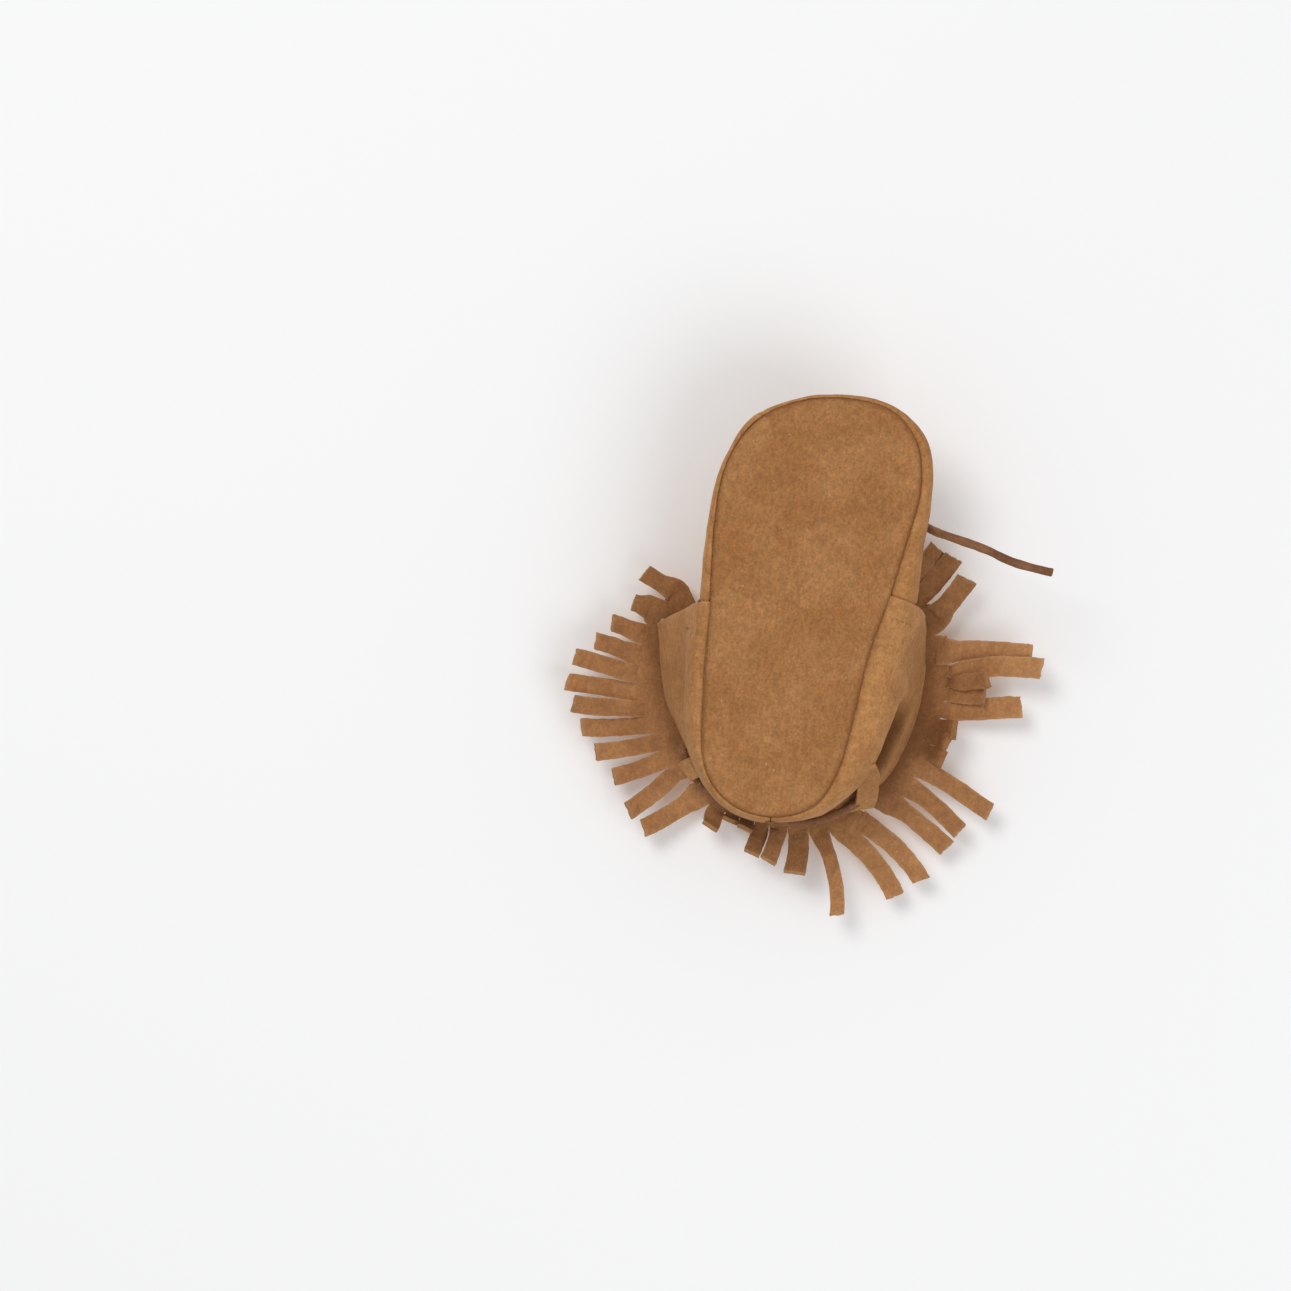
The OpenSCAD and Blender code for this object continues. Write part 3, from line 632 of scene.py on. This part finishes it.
def thread_material(name, colour, dark):
    """Twisted sewing thread: fine slanting strands."""
    material, tree, shader = new_material(name)
    place = put(tree, "ShaderNodeTexCoord").outputs["Object"]
    strands = put(tree, "ShaderNodeTexWave", {"bands_direction": "DIAGONAL"}, Vector=place, Scale=1500,
                  Distortion=2, Detail=2, Detail_Scale=2.0).outputs["Fac"]
    fuzz = noise(tree, place, 1800, 3, 0.6)
    tone = blend_colour(tree, fit(tree, strands, 0.2, 0.8), dark, colour)
    tone = blend_colour(tree, fit(tree, fuzz, 0.4, 0.8, 0.0, 0.5), tone, dark)
    tree.links.new(tone, shader.inputs["Base Color"])
    shader.inputs["Roughness"].default_value = 0.85
    shader.inputs["Specular IOR Level"].default_value = 0.2
    bump = put(tree, "ShaderNodeBump", Strength=0.6, Distance=0.0001, Height=strands)
    tree.links.new(bump.outputs[0], shader.inputs["Normal"])
    return material


def foam_material(name):
    """Open-cell foam."""
    material, tree, shader = new_material(name)
    place = put(tree, "ShaderNodeTexCoord").outputs["Object"]
    cells = put(tree, "ShaderNodeTexVoronoi", Vector=place, Scale=1400).outputs["Distance"]
    cells = fit(tree, cells, 0.1, 0.6)
    colour = blend_colour(tree, cells, (0.42, 0.36, 0.24), (0.78, 0.72, 0.55))
    tree.links.new(colour, shader.inputs["Base Color"])
    shader.inputs["Roughness"].default_value = 0.95
    bump = put(tree, "ShaderNodeBump", Strength=0.7, Distance=0.0003, Height=cells)
    tree.links.new(bump.outputs[0], shader.inputs["Normal"])
    return material


TAN = (0.41, 0.194, 0.073)
TAN_DARK = (0.345, 0.152, 0.053)
TAN_RED = (0.39, 0.138, 0.04)
TAN_PALE = (0.62, 0.41, 0.23)
sole_suede = suede("sole_suede", TAN, TAN_DARK, TAN_RED, TAN_PALE, nap=1.0, blotch=0.4)
# The upper's suede is a lighter copy of the sole's: partly painted light, which makes up for the upper's
# steeper slope to the lights.
upper_suede = suede("upper_suede", (0.48, 0.232, 0.086), (0.40, 0.182, 0.064), TAN_RED, TAN_PALE, nap=0.9,
                    blotch=0.3, seed=0.31)
fringe_suede = suede("fringe_suede", (0.46, 0.215, 0.082), (0.36, 0.155, 0.055), TAN_RED, TAN_PALE, nap=1.0,
                     blotch=0.45, seed=0.77)
lining_suede = suede("lining_suede", (0.42, 0.235, 0.115), (0.34, 0.175, 0.08), TAN_RED, TAN_PALE, nap=0.8,
                     blotch=0.2, seed=1.3)
lace_leather = suede("lace_leather", (0.28, 0.13, 0.064), (0.18, 0.077, 0.036), (0.22, 0.07, 0.03),
                     (0.42, 0.27, 0.17), nap=0.8, blotch=0.3, seed=2.1)
thread_look = thread_material("thread", (0.34, 0.155, 0.06), (0.2, 0.085, 0.032))
sole_thread_look = thread_material("sole_thread", (0.4, 0.15, 0.046), (0.29, 0.105, 0.032))
side_thread_look = thread_material("side_thread", (0.44, 0.2, 0.078), (0.3, 0.13, 0.05))
foam_look = foam_material("foam")


# ---------------------------------------------------------------- the camera, then the two loose lace ends

make_camera()


TAILS = [("lace_tail_medial", TAIL_MEDIAL, 11), ("lace_tail_lateral", TAIL_LATERAL, 12)]
for tail_name, tail_route, tail_seed in TAILS:
    tail_path = smooth_path(tail_route, 9)
    tail = lace("cord_" + tail_name, tail_path, tail_name, lace_leather, tail_seed)


# ---------------------------------------------------------------- sole, pad and insole

def slab(name, inset, low, high, rounding, node, slot, material, flatness, step=1.5, side_deep=0.0):
    """A flat sole-shaped layer with rounded edges. rounding is how far its two edges are rounded."""
    count = 420
    t = np.linspace(0, KNOTS, count, endpoint=False)
    line, n = seam(t), outward(t)
    profile = []
    for k in range(6):
        a = math.pi / 2 * k / 5
        profile.append((inset + rounding * (1 - math.sin(a)), low + rounding * 0.55 * (1 - math.cos(a))))
    for k in range(1, 6):
        a = math.pi / 2 * k / 5
        profile.append((inset + 0.4 * (1 - math.cos(a)), high - 0.4 * (1 - math.sin(a))))
    rings = [np.concatenate([line - off * n, np.full((count, 1), z)], 1) for off, z in profile]
    points = np.concatenate(rings)
    faces = []
    for k in range(len(rings) - 1):
        for j in range(count):
            a, b = k * count + j, k * count + (j + 1) % count
            faces.append((a, b, b + count, a + count))
    # Painted shade on the slab's rounded side, darkest at its middle ring, which faces into the seam groove.
    deep = np.repeat(np.array([side_deep * (1 - abs(k - 5) / 5) for k in range(len(rings))]), count)
    lining = np.zeros(len(points))
    for ring_index, flip in ((0, True), (len(rings) - 1, False)):
        border = rings[ring_index][:, :2]
        lo, hi = border.min(0), border.max(0)
        xs, ys = np.arange(lo[0], hi[0], step), np.arange(lo[1], hi[1], step * 0.9)
        gx, gy = np.meshgrid(xs, ys, indexing="ij")
        gx = gx + np.where(np.arange(gx.shape[1]) % 2, step / 2, 0)[None, :]
        grid = np.stack([gx.ravel(), gy.ravel()], -1)
        gap = grid[:, None] - border[None]
        nearest = np.argmin((gap ** 2).sum(-1), 1)
        depth_in = -np.einsum("ij,ij->i", grid - border[nearest], n[nearest])
        grid = grid[depth_in > step * 0.7]
        flat = [Vector(p) for p in np.concatenate([border, grid])]
        edges = [(k, (k + 1) % count) for k in range(count)]
        made, _, cells, origin, _, _ = delaunay_2d_cdt(flat, edges, [], 1, 1e-5)
        start = len(points)
        index = {}
        extra = []
        for k, sources in enumerate(origin):
            if sources and sources[0] < count:
                index[k] = ring_index * count + sources[0]
            else:
                index[k] = start + len(extra)
                extra.append([made[k].x, made[k].y, rings[ring_index][0, 2]])
        points = np.concatenate([points, np.array(extra)])
        deep = np.concatenate([deep, np.zeros(len(extra))])
        lining = np.concatenate([lining, np.zeros(len(extra))])
        for cell in cells:
            cell = tuple(index[c] for c in cell)
            faces.append(cell[::-1] if flip else cell)
    wave = 0.3 + 0.2 * waves(points, 17, 3) + 0.25 * waves(points, 6.5, 4) + 0.12 * waves(points, 2.4, 5)
    points[:, 2] += flatness * np.maximum(wave, 0)
    return build(name, points, faces, node, "shoe", slot, material, sharp=60,
                 edge=np.zeros(len(points)), deep=deep, lining=lining)


# The outsole gets painted shade on its side, in the groove of the sole seam.
slab("outsole_suede", 0.18, 0.0, OUTSOLE_T, 1.4, "outsole", "sole_suede", sole_suede, 0.28, side_deep=0.35)
PAD_TOP = OUTSOLE_T + PAD_T
pad = slab("midsole_foam", 0.9, OUTSOLE_T + 0.35, PAD_TOP, 0.9, "midsole_pad", "foam", foam_look, 0.02)
slab("insole_suede", 1.1, PAD_TOP + 0.1, PAD_TOP + INSOLE_T + 0.1, 0.5, "insole", "lining_suede",
     lining_suede, 0.25)


# ---------------------------------------------------------------- the upper

PUCKER_COUNT = 34
PUCKER_START, PUCKER_END = SIDE_LATERAL + 0.35, SIDE_MEDIAL + KNOTS - 0.35
PUCKER_PITCH = (PUCKER_END - PUCKER_START) / (PUCKER_COUNT - 1)


def pucker(t):
    """1 between two stitches of the apron's seam, and -1 at a stitch."""
    inside = ramp((t - PUCKER_START + 0.3) / 0.3) * ramp((PUCKER_END + 0.3 - t) / 0.3)
    return -np.cos(2 * np.pi * (t - PUCKER_START) / PUCKER_PITCH) * inside


def toe_wall():
    ends = (SIDE_LATERAL + LAP, SIDE_MEDIAL + KNOTS - LAP)
    t = np.concatenate([np.linspace(ends[0] - TUCK_SPAN, ends[0] - 0.12, 6),
                        np.linspace(ends[0], ends[1], 420),
                        np.linspace(ends[1] + 0.12, ends[1] + TUCK_SPAN, 6)])[:, None]
    t, s = spread(t, np.linspace(0, 1, 72)[None, :] ** 1.1)
    tuck = ramp((from_toe(t) - SIDE_MEDIAL + 0.1) / 0.12)
    n = normal_of(toe_point, t, s)
    p = inside_of(toe_point, t, s, 1.4 * tuck)
    top = ramp((s - 0.55) / 0.45)
    p = p + n * (0.42 * pucker(t) * top ** 3)[..., None]
    p[..., 2] += 0.8 * smooth((s - 0.9) / 0.1) * (1 - tuck)
    free = ramp(s / 0.12) * (1 - tuck)
    dents = 0.34 * waves(p, 13, 21) + 0.16 * waves(p, 5, 22) + 0.05 * waves(p, 1.8, 23)
    p = p + n * (free * dents)[..., None]
    # Painted shade in the sole seam's groove at the foot, and at the top in the dimple at each apron stitch.
    deep = 0.35 * np.exp(-(s / 0.03) ** 2) + 0.5 * np.exp(-((1 - s) / 0.03) ** 2) * (1 - pucker(t)) / 2
    panel("toe_wall_suede", p, LEATHER_T, "toe_wall", "shoe", "upper_suede", upper_suede, cuts=(0, 0, 0, 1),
          deep=deep)


def quarter(name, node, start, end, rows, cuts, seed):
    s = np.linspace(0, 1, 90)[None, :] ** 1.08
    low, high = start(s), end(s)
    t = mix(low, high, np.linspace(0, 1, rows)[:, None])
    t, s = spread(t, s)
    n = normal_of(quarter_point, t, s)
    p = quarter_point(t, s)
    gap = np.minimum(np.abs(t - HEEL) / 0.12, 1)
    front = np.minimum(np.abs(t - SIDE_MEDIAL), np.abs(t - SIDE_LATERAL))
    p = p + n * (0.45 * np.exp(-(front / 0.3) ** 2) * (1 - 0.6 * ramp(s / 0.15)))[..., None]
    free = ramp(s / 0.14) * gap
    folds = np.exp(-((s - 0.52) / 0.2) ** 2)
    p = p + n * (free * (0.3 * waves(p, 12, seed) + (0.14 + 0.12 * folds) * waves(p, 4.6, seed + 1)
                         + 0.045 * waves(p, 1.7, seed + 2)))[..., None]
    crease = smooth(np.sin(np.pi * ramp((t - 6.5) / 2.5)) * 1.25)
    dent = 1.9 * np.sin(np.pi * ramp((t - 12.0) / 2.0)) ** 2 * np.exp(-((s - 0.56) / 0.13) ** 2)
    p = p - n * (2.2 * crease * np.exp(-((s - 0.655) / 0.07) ** 2) + dent)[..., None]
    # Painted shade, darkest in the crease's valley; some in the lateral dent, in the sole seam's groove at
    # the foot and along the heel seam.
    crease_painted_shade = crease * smooth((s - 0.42) / 0.12) * smooth((0.81 - s) / 0.1)
    deep = ramp(0.35 * np.exp(-(s / 0.025) ** 2) + crease_painted_shade + 0.12 * dent
                + 0.4 * np.exp(-(np.abs(t - HEEL) / 0.05) ** 2))
    panel(name, p, LEATHER_T, node, "shoe", "upper_suede", upper_suede, cuts=cuts, deep=deep)


def apron():
    v = np.linspace(0.0, 1.0, 130)[:, None] ** 1.25 * (0.985 - 0.012) + 0.012
    w = np.linspace(-1, 1, 101)[None, :]
    v, w = spread(v, w)
    p = apron_point(v, w)
    width = np.linalg.norm(apron_point(v, 1.0) - apron_point(v, -1.0), axis=-1)
    away = (1 - np.abs(w)) * width / 2
    t = np.where(w > 0, KNOTS + 5 * v, KNOTS - 4.6 * v)
    ridge = np.exp(-(away / 1.5) ** 2)
    p[..., 2] += 0.95 * ridge + 0.35 * pucker(t) * np.exp(-away / 2.6) * ramp(v / 0.05)
    free = ramp(away / 3)
    p[..., 2] += free * (0.4 * waves(p, 14, 31) + 0.16 * waves(p, 5, 32) + 0.05 * waves(p, 1.8, 33))
    # Painted shade along the apron's seam edge, darkest at each stitch.
    deep = 0.5 * np.exp(-(away / 0.8) ** 2) * (1 - pucker(t)) / 2
    panel("apron_suede", p, LEATHER_T, "apron", "shoe", "upper_suede", upper_suede, sign=-1,
          cuts=(0, 0, 1, 1), deep=deep)


def tongue():
    s, w = spread(np.linspace(0, 1, 80)[:, None], np.linspace(-1, 1, 70)[None, :])
    p = tongue_point(s, w)
    free = ramp(s / 0.12)
    p[..., 2] += free * (0.35 * waves(p, 11, 41) + 0.12 * waves(p, 4, 42)) - 0.5 * ramp((s - 0.7) / 0.3) ** 2
    piece = panel("tongue_suede", p, LEATHER_T, "tongue", None, "lining_suede", lining_suede, sign=-1,
                  cuts=(0, 1, 1, 1))
    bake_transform(piece)


toe_wall()
quarter("quarter_medial_suede", "quarter_medial",
        lambda s: SIDE_MEDIAL + LAP - STEP + (LEAN_MEDIAL + STEP) * s ** 3,
        lambda s: HEEL - 0.015 + 0 * s, 330, (1, 0, 0, 1), 51)
quarter("quarter_lateral_suede", "quarter_lateral", lambda s: HEEL + 0.015 + 0 * s,
        lambda s: SIDE_LATERAL - LAP + STEP - (LEAN_LATERAL + STEP) * s ** 2, 290, (0, 1, 0, 1), 54)
apron()
tongue()


# ---------------------------------------------------------------- the fringe

# The band starts over the rim of the collar, a little inside the CAD's, and further in at the outer corner.
BAND_START = -2.2
CORNER_EXTRA = 3.6


def strip_rows(t0, t1, spec, band_rows, cols, seed):
    """One strip: the rows of its own part of the band, then the rows of the strip to its tip."""
    length, heading, swing, droop, curl, twist, lift, width = spec
    tt = np.linspace(t0, t1, cols)
    start = BAND_START - CORNER_EXTRA * smooth((tt - 13.85) / 0.3)
    band = [band_point(tt, r) for r in np.linspace(start / band_reach(tt), 1, band_rows)]
    edge = band[-1]
    root = edge.mean(0)
    across = edge[-1] - edge[0]
    first_width = np.linalg.norm(across)
    n = root_line(np.array((t0 + t1) / 2))[1]
    first_heading = math.degrees(math.atan2(n[1], n[0]))
    turn = (heading - first_heading + 180) % 360 - 180
    count = int(math.ceil(length / 0.55))
    u = np.linspace(-0.5, 0.5, cols)[:, None]
    bowed = edge - root - u * across
    p, rows = root, []
    for k in range(1, count + 1):
        run = k * length / count
        s = run / length
        ease = float(smooth(run / 3.5))
        h = math.radians(first_heading + turn * ease + swing * s + 5 * math.sin(seed * 1.7 + 3.1 * s) * s)
        sway = 4 * math.sin(seed * 2.3 + 5.0 * s) * ease
        v = math.radians(mix(BAND_DROOP, droop, ease) + curl * s ** 1.6 + sway)
        way = np.array([math.cos(h) * math.cos(v), math.sin(h) * math.cos(v), -math.sin(v)])
        p = p + way * length / count
        side = np.array([-math.sin(h), math.cos(h), 0.0])
        if np.dot(side, across) < 0:
            side = -side
        up = np.cross(way, side)
        roll = math.radians(twist * s)
        side = math.cos(roll) * side + math.sin(roll) * up
        w = mix(first_width, width, float(smooth(run / 6.5))) - 0.22 * min(1, run / 0.8)
        w *= 1 + 0.03 * math.sin(seed + 4.0 * s)
        cup = 0.22 * ease * (4 * u * u - 0.4)
        rise = (cup - lift * ease) * np.array([0, 0, 1.0])
        rows.append(p + u * side * w + rise + bowed * (1 - ease))
    return np.array(band + rows)


def ragged(rows, first, seed):
    """Roughens the two cut sides and the tip of a strip."""
    out = rows.copy()
    side = unit(rows[:, -1] - rows[:, 0])
    for column, sign in ((0, -1), (-1, 1)):
        line = rows[first:, column]
        step = 0.14 * waves(line, 0.9, seed + column) + 0.17 * waves(line, 2.6, seed + 5 + column)
        out[first:, column] = line + side[first:] * (sign * step)[:, None]
    tip = rows[-1]
    way = unit(rows[-1] - rows[-2])
    slant = np.linspace(-0.5, 0.5, rows.shape[1]) * (0.9 * math.sin(seed * 1.3))
    out[-1] = tip + way * (slant + 0.22 * waves(tip, 0.7, seed + 9) + 0.12)[:, None]
    return out


def flap(name, node, slits, strips, shaded, seed):
    """A fringe flap: one piece of suede, cut into strips from its outer side up to the uncut band.

    The strips listed in shaded lie tucked in beside the toe and get painted shade, most on their underside.
    Every strip gets a painted shadow near its root, and strips that curl far under get painted shade all
    over.
    """
    cols, band_rows = 9, 8
    points, faces, edge, deep, lining = [], [], [], [], []
    base = 0
    for k, spec in enumerate(strips):
        rows = strip_rows(slits[k], slits[k + 1], spec, band_rows, cols, seed + 7 * k)
        rows = ragged(rows, band_rows, seed + k)
        count = len(rows)
        du, dv = np.gradient(rows, axis=0), np.gradient(rows, axis=1)
        normal = unit(np.cross(du, dv))
        normal = normal * np.sign(normal[..., 2:3].mean())
        up = np.array([0, 0, 1.0])
        share = smooth((np.arange(count) - band_rows + 3) / 8)[:, None, None]
        normal = unit(mix(np.broadcast_to(up, normal.shape), normal, share))
        bumps = 0.1 * waves(rows, 2.7, seed + 3) + 0.05 * waves(rows, 1.1, seed + 4)
        bumps = bumps + 0.12 * waves(rows, 7, seed + 6)
        fade = smooth(np.arange(count) / 3)[:, None]
        top = rows + normal * (bumps * fade)[..., None]
        low = top - normal * FRINGE_T
        n = count * cols
        outward_cross = np.cross(rows[1, 0] - rows[0, 0], rows[0, 1] - rows[0, 0])[2]
        flip = outward_cross < 0
        faces += grid_faces(count, cols, base, flip) + grid_faces(count, cols, base + n, not flip)

        def wall(a, b):
            quad = (base + a, base + b, base + n + b, base + n + a)
            faces.append(quad[::-1] if flip else quad)

        first_left = 0 if k == 0 else band_rows - 1
        first_right = 0 if k == len(strips) - 1 else band_rows - 1
        for i in range(first_left, count - 1):
            wall(i * cols, (i + 1) * cols)
        for i in range(first_right, count - 1):
            wall((i + 2) * cols - 1, (i + 1) * cols - 1)
        for j in range(cols - 1):
            wall(j + 1, j)
            wall((count - 1) * cols + j, (count - 1) * cols + j + 1)
        points += [top.reshape(-1, 3), low.reshape(-1, 3)]
        border = np.zeros((count, cols))
        border[band_rows:, 0] = border[band_rows:, -1] = border[-1] = 1
        border[-2, 1:-1] = 0.35
        border *= 1 - ramp(spec[4] / 50)
        # Painted shadow near each strip's root, where the collar overhangs it, and painted shade over the
        # strips in shaded; both are four times stronger on the underside.
        from_root = np.linalg.norm(rows - rows[:1], axis=-1)
        shadow = np.maximum(0.6 * np.exp(-(from_root / 5.5) ** 2), 0.36 if k in shaded else 0)
        edge += [border.ravel()] * 2
        # Painted shade over the whole of each strip that curls far under, on both faces, so its turned end
        # doesn't show bright.
        curl_painted_shade = 0.32 * ramp(spec[4] / 50)
        deep += [np.maximum(0.25 * shadow, curl_painted_shade).ravel(), np.maximum(shadow, curl_painted_shade).ravel()]
        lining += [np.zeros(n), np.full(n, 0.25)]
        base += 2 * n
    piece = build(name, np.concatenate(points), faces, node, None, "fringe_suede", fringe_suede, sharp=40,
                  merge=0.004, edge=np.concatenate(edge), deep=np.concatenate(deep),
                  lining=np.concatenate(lining))
    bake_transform(piece)


FLAPS = [
    ("medial", "medial_flap", MEDIAL_SLITS, MEDIAL_STRIPS, (0, 1, 2), 101),
    ("heel", "heel_flap", HEEL_SLITS, HEEL_STRIPS, (6, 7), 202),
    ("lateral", "lateral_flap", LATERAL_SLITS, LATERAL_STRIPS, (9, 10), 303),
]
for side_name, flap_body, slits, strips, shaded, flap_seed in FLAPS:
    flap("fringe_" + side_name + "_suede", "fringe_" + side_name, slits, strips, shaded,
         flap_seed)
    span = slits[-1] - slits[0]
    count = round(span * 4)
    threads = []
    for k in range(count):
        t = mix(slits[0] + 0.06, slits[-1] - 0.2, k / (count - 1))
        a, b = band_point(t, 0.28), band_point(t + 0.14, 0.28)
        threads.append((a, b, np.array([0, 0, 1.0])))
    stitched = stitches("thread_fringe_" + side_name, threads, "fringe_stitch_" + side_name, None,
                        thread_look, 0.42, 0.4)
    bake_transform(stitched)


# ---------------------------------------------------------------- strap loops, lace and knot

def strap(name, node, path, across, seed):
    rows = smooth_path(path, 8)
    n = len(rows)
    u = np.linspace(-0.5, 0.5, 11)[None, :, None]
    across = np.broadcast_to(unit(np.asarray(across, float)), rows.shape)
    way = unit(np.gradient(rows, axis=0))
    side = unit(across - way * (across * way).sum(-1, keepdims=True))
    lift = np.cross(way, side)
    p = rows[:, None] + u * side[:, None] * (STRAP_W + 0.8) + lift[:, None] * (STRAP_T * np.ones((n, 11, 1)))
    p = p + lift[:, None] * (0.12 * waves(p, 2.6, seed))[..., None]
    panel(name, p, STRAP_T, node, "shoe", "upper_suede", upper_suede, cuts=(0, 0, 0, 0), back=0.1)


strap("rear_loop_medial_suede", "rear_loop_medial", LOOP_MEDIAL, [-0.95, 0.3, 0], 61)
lateral_loop = [inside_of(quarter_point, 11.95, mix(0.64, 0.93, k / 6), -gap)
                for k, gap in enumerate((0.3, 1.8, 3.4, 3.6, 3.4, 1.9, 0.4))]
strap("rear_loop_lateral_suede", "rear_loop_lateral", lateral_loop,
      quarter_point(12.05, 1.0) - quarter_point(11.85, 1.0), 62)

# The lace lies inside the collar, and outside it only round the heel, between two slits.
band_t = np.linspace(5.55, 13.52, 120)
out_of_slit = smooth((band_t - 8.16) / 0.3) * smooth((12.5 - band_t) / 0.3)
band_s = mix(0.92, 0.8 - 0.04 * ramp(1 - np.abs(band_t - 8.55) / 0.8), out_of_slit)
round_back = inside_of(quarter_point, band_t, band_s,
                       mix(LEATHER_T + LACE_D / 2 + 0.35, -(LACE_D / 2 + 0.35), out_of_slit))
band_route = np.concatenate([LACE_FRONT_MEDIAL, round_back, LACE_FRONT_LATERAL[::-1]])
lace("lace_band_leather", smooth_path(band_route, 4), "lace_band", lace_leather, 13)

turn = np.linspace(0, 2 * np.pi, 150, endpoint=False)
KNOT_SIZE, KNOT_DEPTH = 1.28, 1.2
trefoil = np.stack([KNOT_SIZE * (np.sin(turn) + 2 * np.sin(2 * turn)) * 1.15,
                    KNOT_SIZE * (np.cos(turn) - 2 * np.cos(2 * turn)) * 0.9,
                    -KNOT_DEPTH * np.sin(3 * turn)], -1)
lace("lace_knot_leather", trefoil + KNOT_AT, "lace_knot", lace_leather, 14, closed=True, twist=0.0)


# ---------------------------------------------------------------- threads of the shoe's seams

SOLE_PITCH = 3.6
sole_count = round(311 / SOLE_PITCH)
sole_threads = []
for k in range(sole_count):
    a, b = (np.append(seam(np.array((k + d) * KNOTS / sole_count)), 1.0) for d in (0, 0.93))
    inward = -0.18 * np.append(outward(np.array(k * KNOTS / sole_count)), 0)
    sole_threads.append((a + inward, b + inward, np.array([0, 0, -1.0])))
stitches("thread_sole", sole_threads, "sole_stitch", "shoe", sole_thread_look, 0.0, 0.2, 0.55)

apron_threads = []
for k in range(PUCKER_COUNT):
    t = np.array(PUCKER_START + k * PUCKER_PITCH)
    n = np.append(outward(t), 0)
    a = toe_point(t, 0.94) + np.array([0, 0, 0.2])
    b = apron_edge(t) - 1.5 * n + np.array([0, 0, 0.7])
    apron_threads.append((a, b, np.array([0, 0, 1.0])))
stitches("thread_apron", apron_threads, "apron_stitch", "shoe", thread_look, 0.95, 0.35, 0.8)


def seam_threads(t, low, high, count):
    rows = []
    for k in range(count):
        s = mix(low, high, k / (count - 1))
        a, b = (inside_of(quarter_point, t, s + d, -0.1) for d in (0, 0.035))
        rows.append((a, b, normal_of(quarter_point, np.array(t), np.array(s))))
    return rows


stitches("thread_side_medial", seam_threads(SIDE_MEDIAL + 0.3, 0.1, 0.52, 7), "side_stitch_medial", "shoe",
         side_thread_look, -0.15, 0.4, 0.4)
stitches("thread_side_lateral", seam_threads(SIDE_LATERAL - 0.25, 0.1, 0.46, 6), "side_stitch_lateral",
         "shoe", side_thread_look, -0.15, 0.4, 0.4)
heel_threads = []
for k in range(11):
    s = mix(0.2, 0.72, k / 10)
    a, b = (inside_of(quarter_point, HEEL + d, s + (0.02 if d > 0 else 0), -0.05) for d in (-0.1, 0.1))
    heel_threads.append((a, b, normal_of(quarter_point, np.array(float(HEEL)), np.array(s))))
stitches("thread_heel", heel_threads, "heel_stitch", "shoe", thread_look)
tongue_threads = []
for k in range(-3, 4):
    a, b = (tongue_point(0.06, k * 0.25 + d) for d in (-0.06, 0.06))
    tongue_threads.append((a, b, np.array([0, 0, 1.0])))
tongue_thread = stitches("thread_tongue", tongue_threads, "tongue_stitch", None, thread_look, 0.4, 0.4)
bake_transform(tongue_thread)


# ---------------------------------------------------------------- stage and light

def one_sided(name, colour):
    """Pale matt card that shows only from its front."""
    material, tree, shader = new_material(name)
    shader.inputs["Base Color"].default_value = (*colour, 1)
    shader.inputs["Roughness"].default_value = 0.95
    shader.inputs["Specular IOR Level"].default_value = 0.1
    back = put(tree, "ShaderNodeNewGeometry").outputs["Backfacing"]
    clear = tree.nodes.new("ShaderNodeBsdfTransparent")
    chosen = tree.nodes.new("ShaderNodeMixShader")
    tree.links.new(back, chosen.inputs[0])
    tree.links.new(shader.outputs[0], chosen.inputs[1])
    tree.links.new(clear.outputs[0], chosen.inputs[2])
    tree.links.new(chosen.outputs[0], tree.nodes["Material Output"].inputs["Surface"])
    return material


def card(name, z, facing, material):
    """A wide flat card at height z, facing up (1) or down (-1), that only the camera sees."""
    half = 3.0
    corners = [(-half, -half, z), (half, -half, z), (half, half, z), (-half, half, z)]
    mesh = bpy.data.meshes.new(name)
    mesh.from_pydata(corners, [], [(0, 1, 2, 3) if facing > 0 else (3, 2, 1, 0)])
    mesh.materials.append(material)
    made = bpy.data.objects.new(name, mesh)
    bpy.context.scene.collection.objects.link(made)
    made.visible_diffuse = False
    made.visible_glossy = False
    made.visible_transmission = False
    made.visible_volume_scatter = False
    made.visible_shadow = False


def area_light(name, place, target, size, power, colour=(1, 1, 1)):
    data = bpy.data.lights.new(name, "AREA")
    data.shape = "DISK"
    data.size = size
    data.energy = power
    data.color = colour
    light = bpy.data.objects.new(name, data)
    light.location = place
    light.rotation_mode = "QUATERNION"
    light.rotation_quaternion = (Vector(target) - Vector(place)).to_track_quat("-Z", "Y")
    bpy.context.scene.collection.objects.link(light)


STAGE_PALE = (0.93, 0.93, 0.935)
pale = one_sided("pale_card", STAGE_PALE)
card("floor", cad_box[0].z - 0.0004, 1, pale)
card("table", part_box("fringe_medial")[1].z + 0.003, -1, pale)

area_light("low_key", (-0.6, -0.55, -1.3), (0, 0, 0.02), 0.7, 8.2, (1.0, 0.99, 0.97))
area_light("low_fill", (0.8, 0.6, -1.15), (0, 0, 0.02), 1.1, 6.6, (0.97, 0.98, 1.0))
area_light("high_key", (-0.7, -0.6, 1.2), (0, 0, 0.02), 0.8, 9.0, (1.0, 0.99, 0.97))
area_light("high_fill", (0.9, 0.5, 0.9), (0, 0, 0.02), 1.1, 4.0, (0.97, 0.98, 1.0))

world = bpy.data.worlds.new("pale_room")
world.use_nodes = True
world.node_tree.nodes["Background"].inputs["Color"].default_value = (0.97, 0.975, 0.98, 1)
world.node_tree.nodes["Background"].inputs["Strength"].default_value = 0.56
bpy.context.scene.world = world
bpy.context.scene.view_settings.view_transform = "Standard"
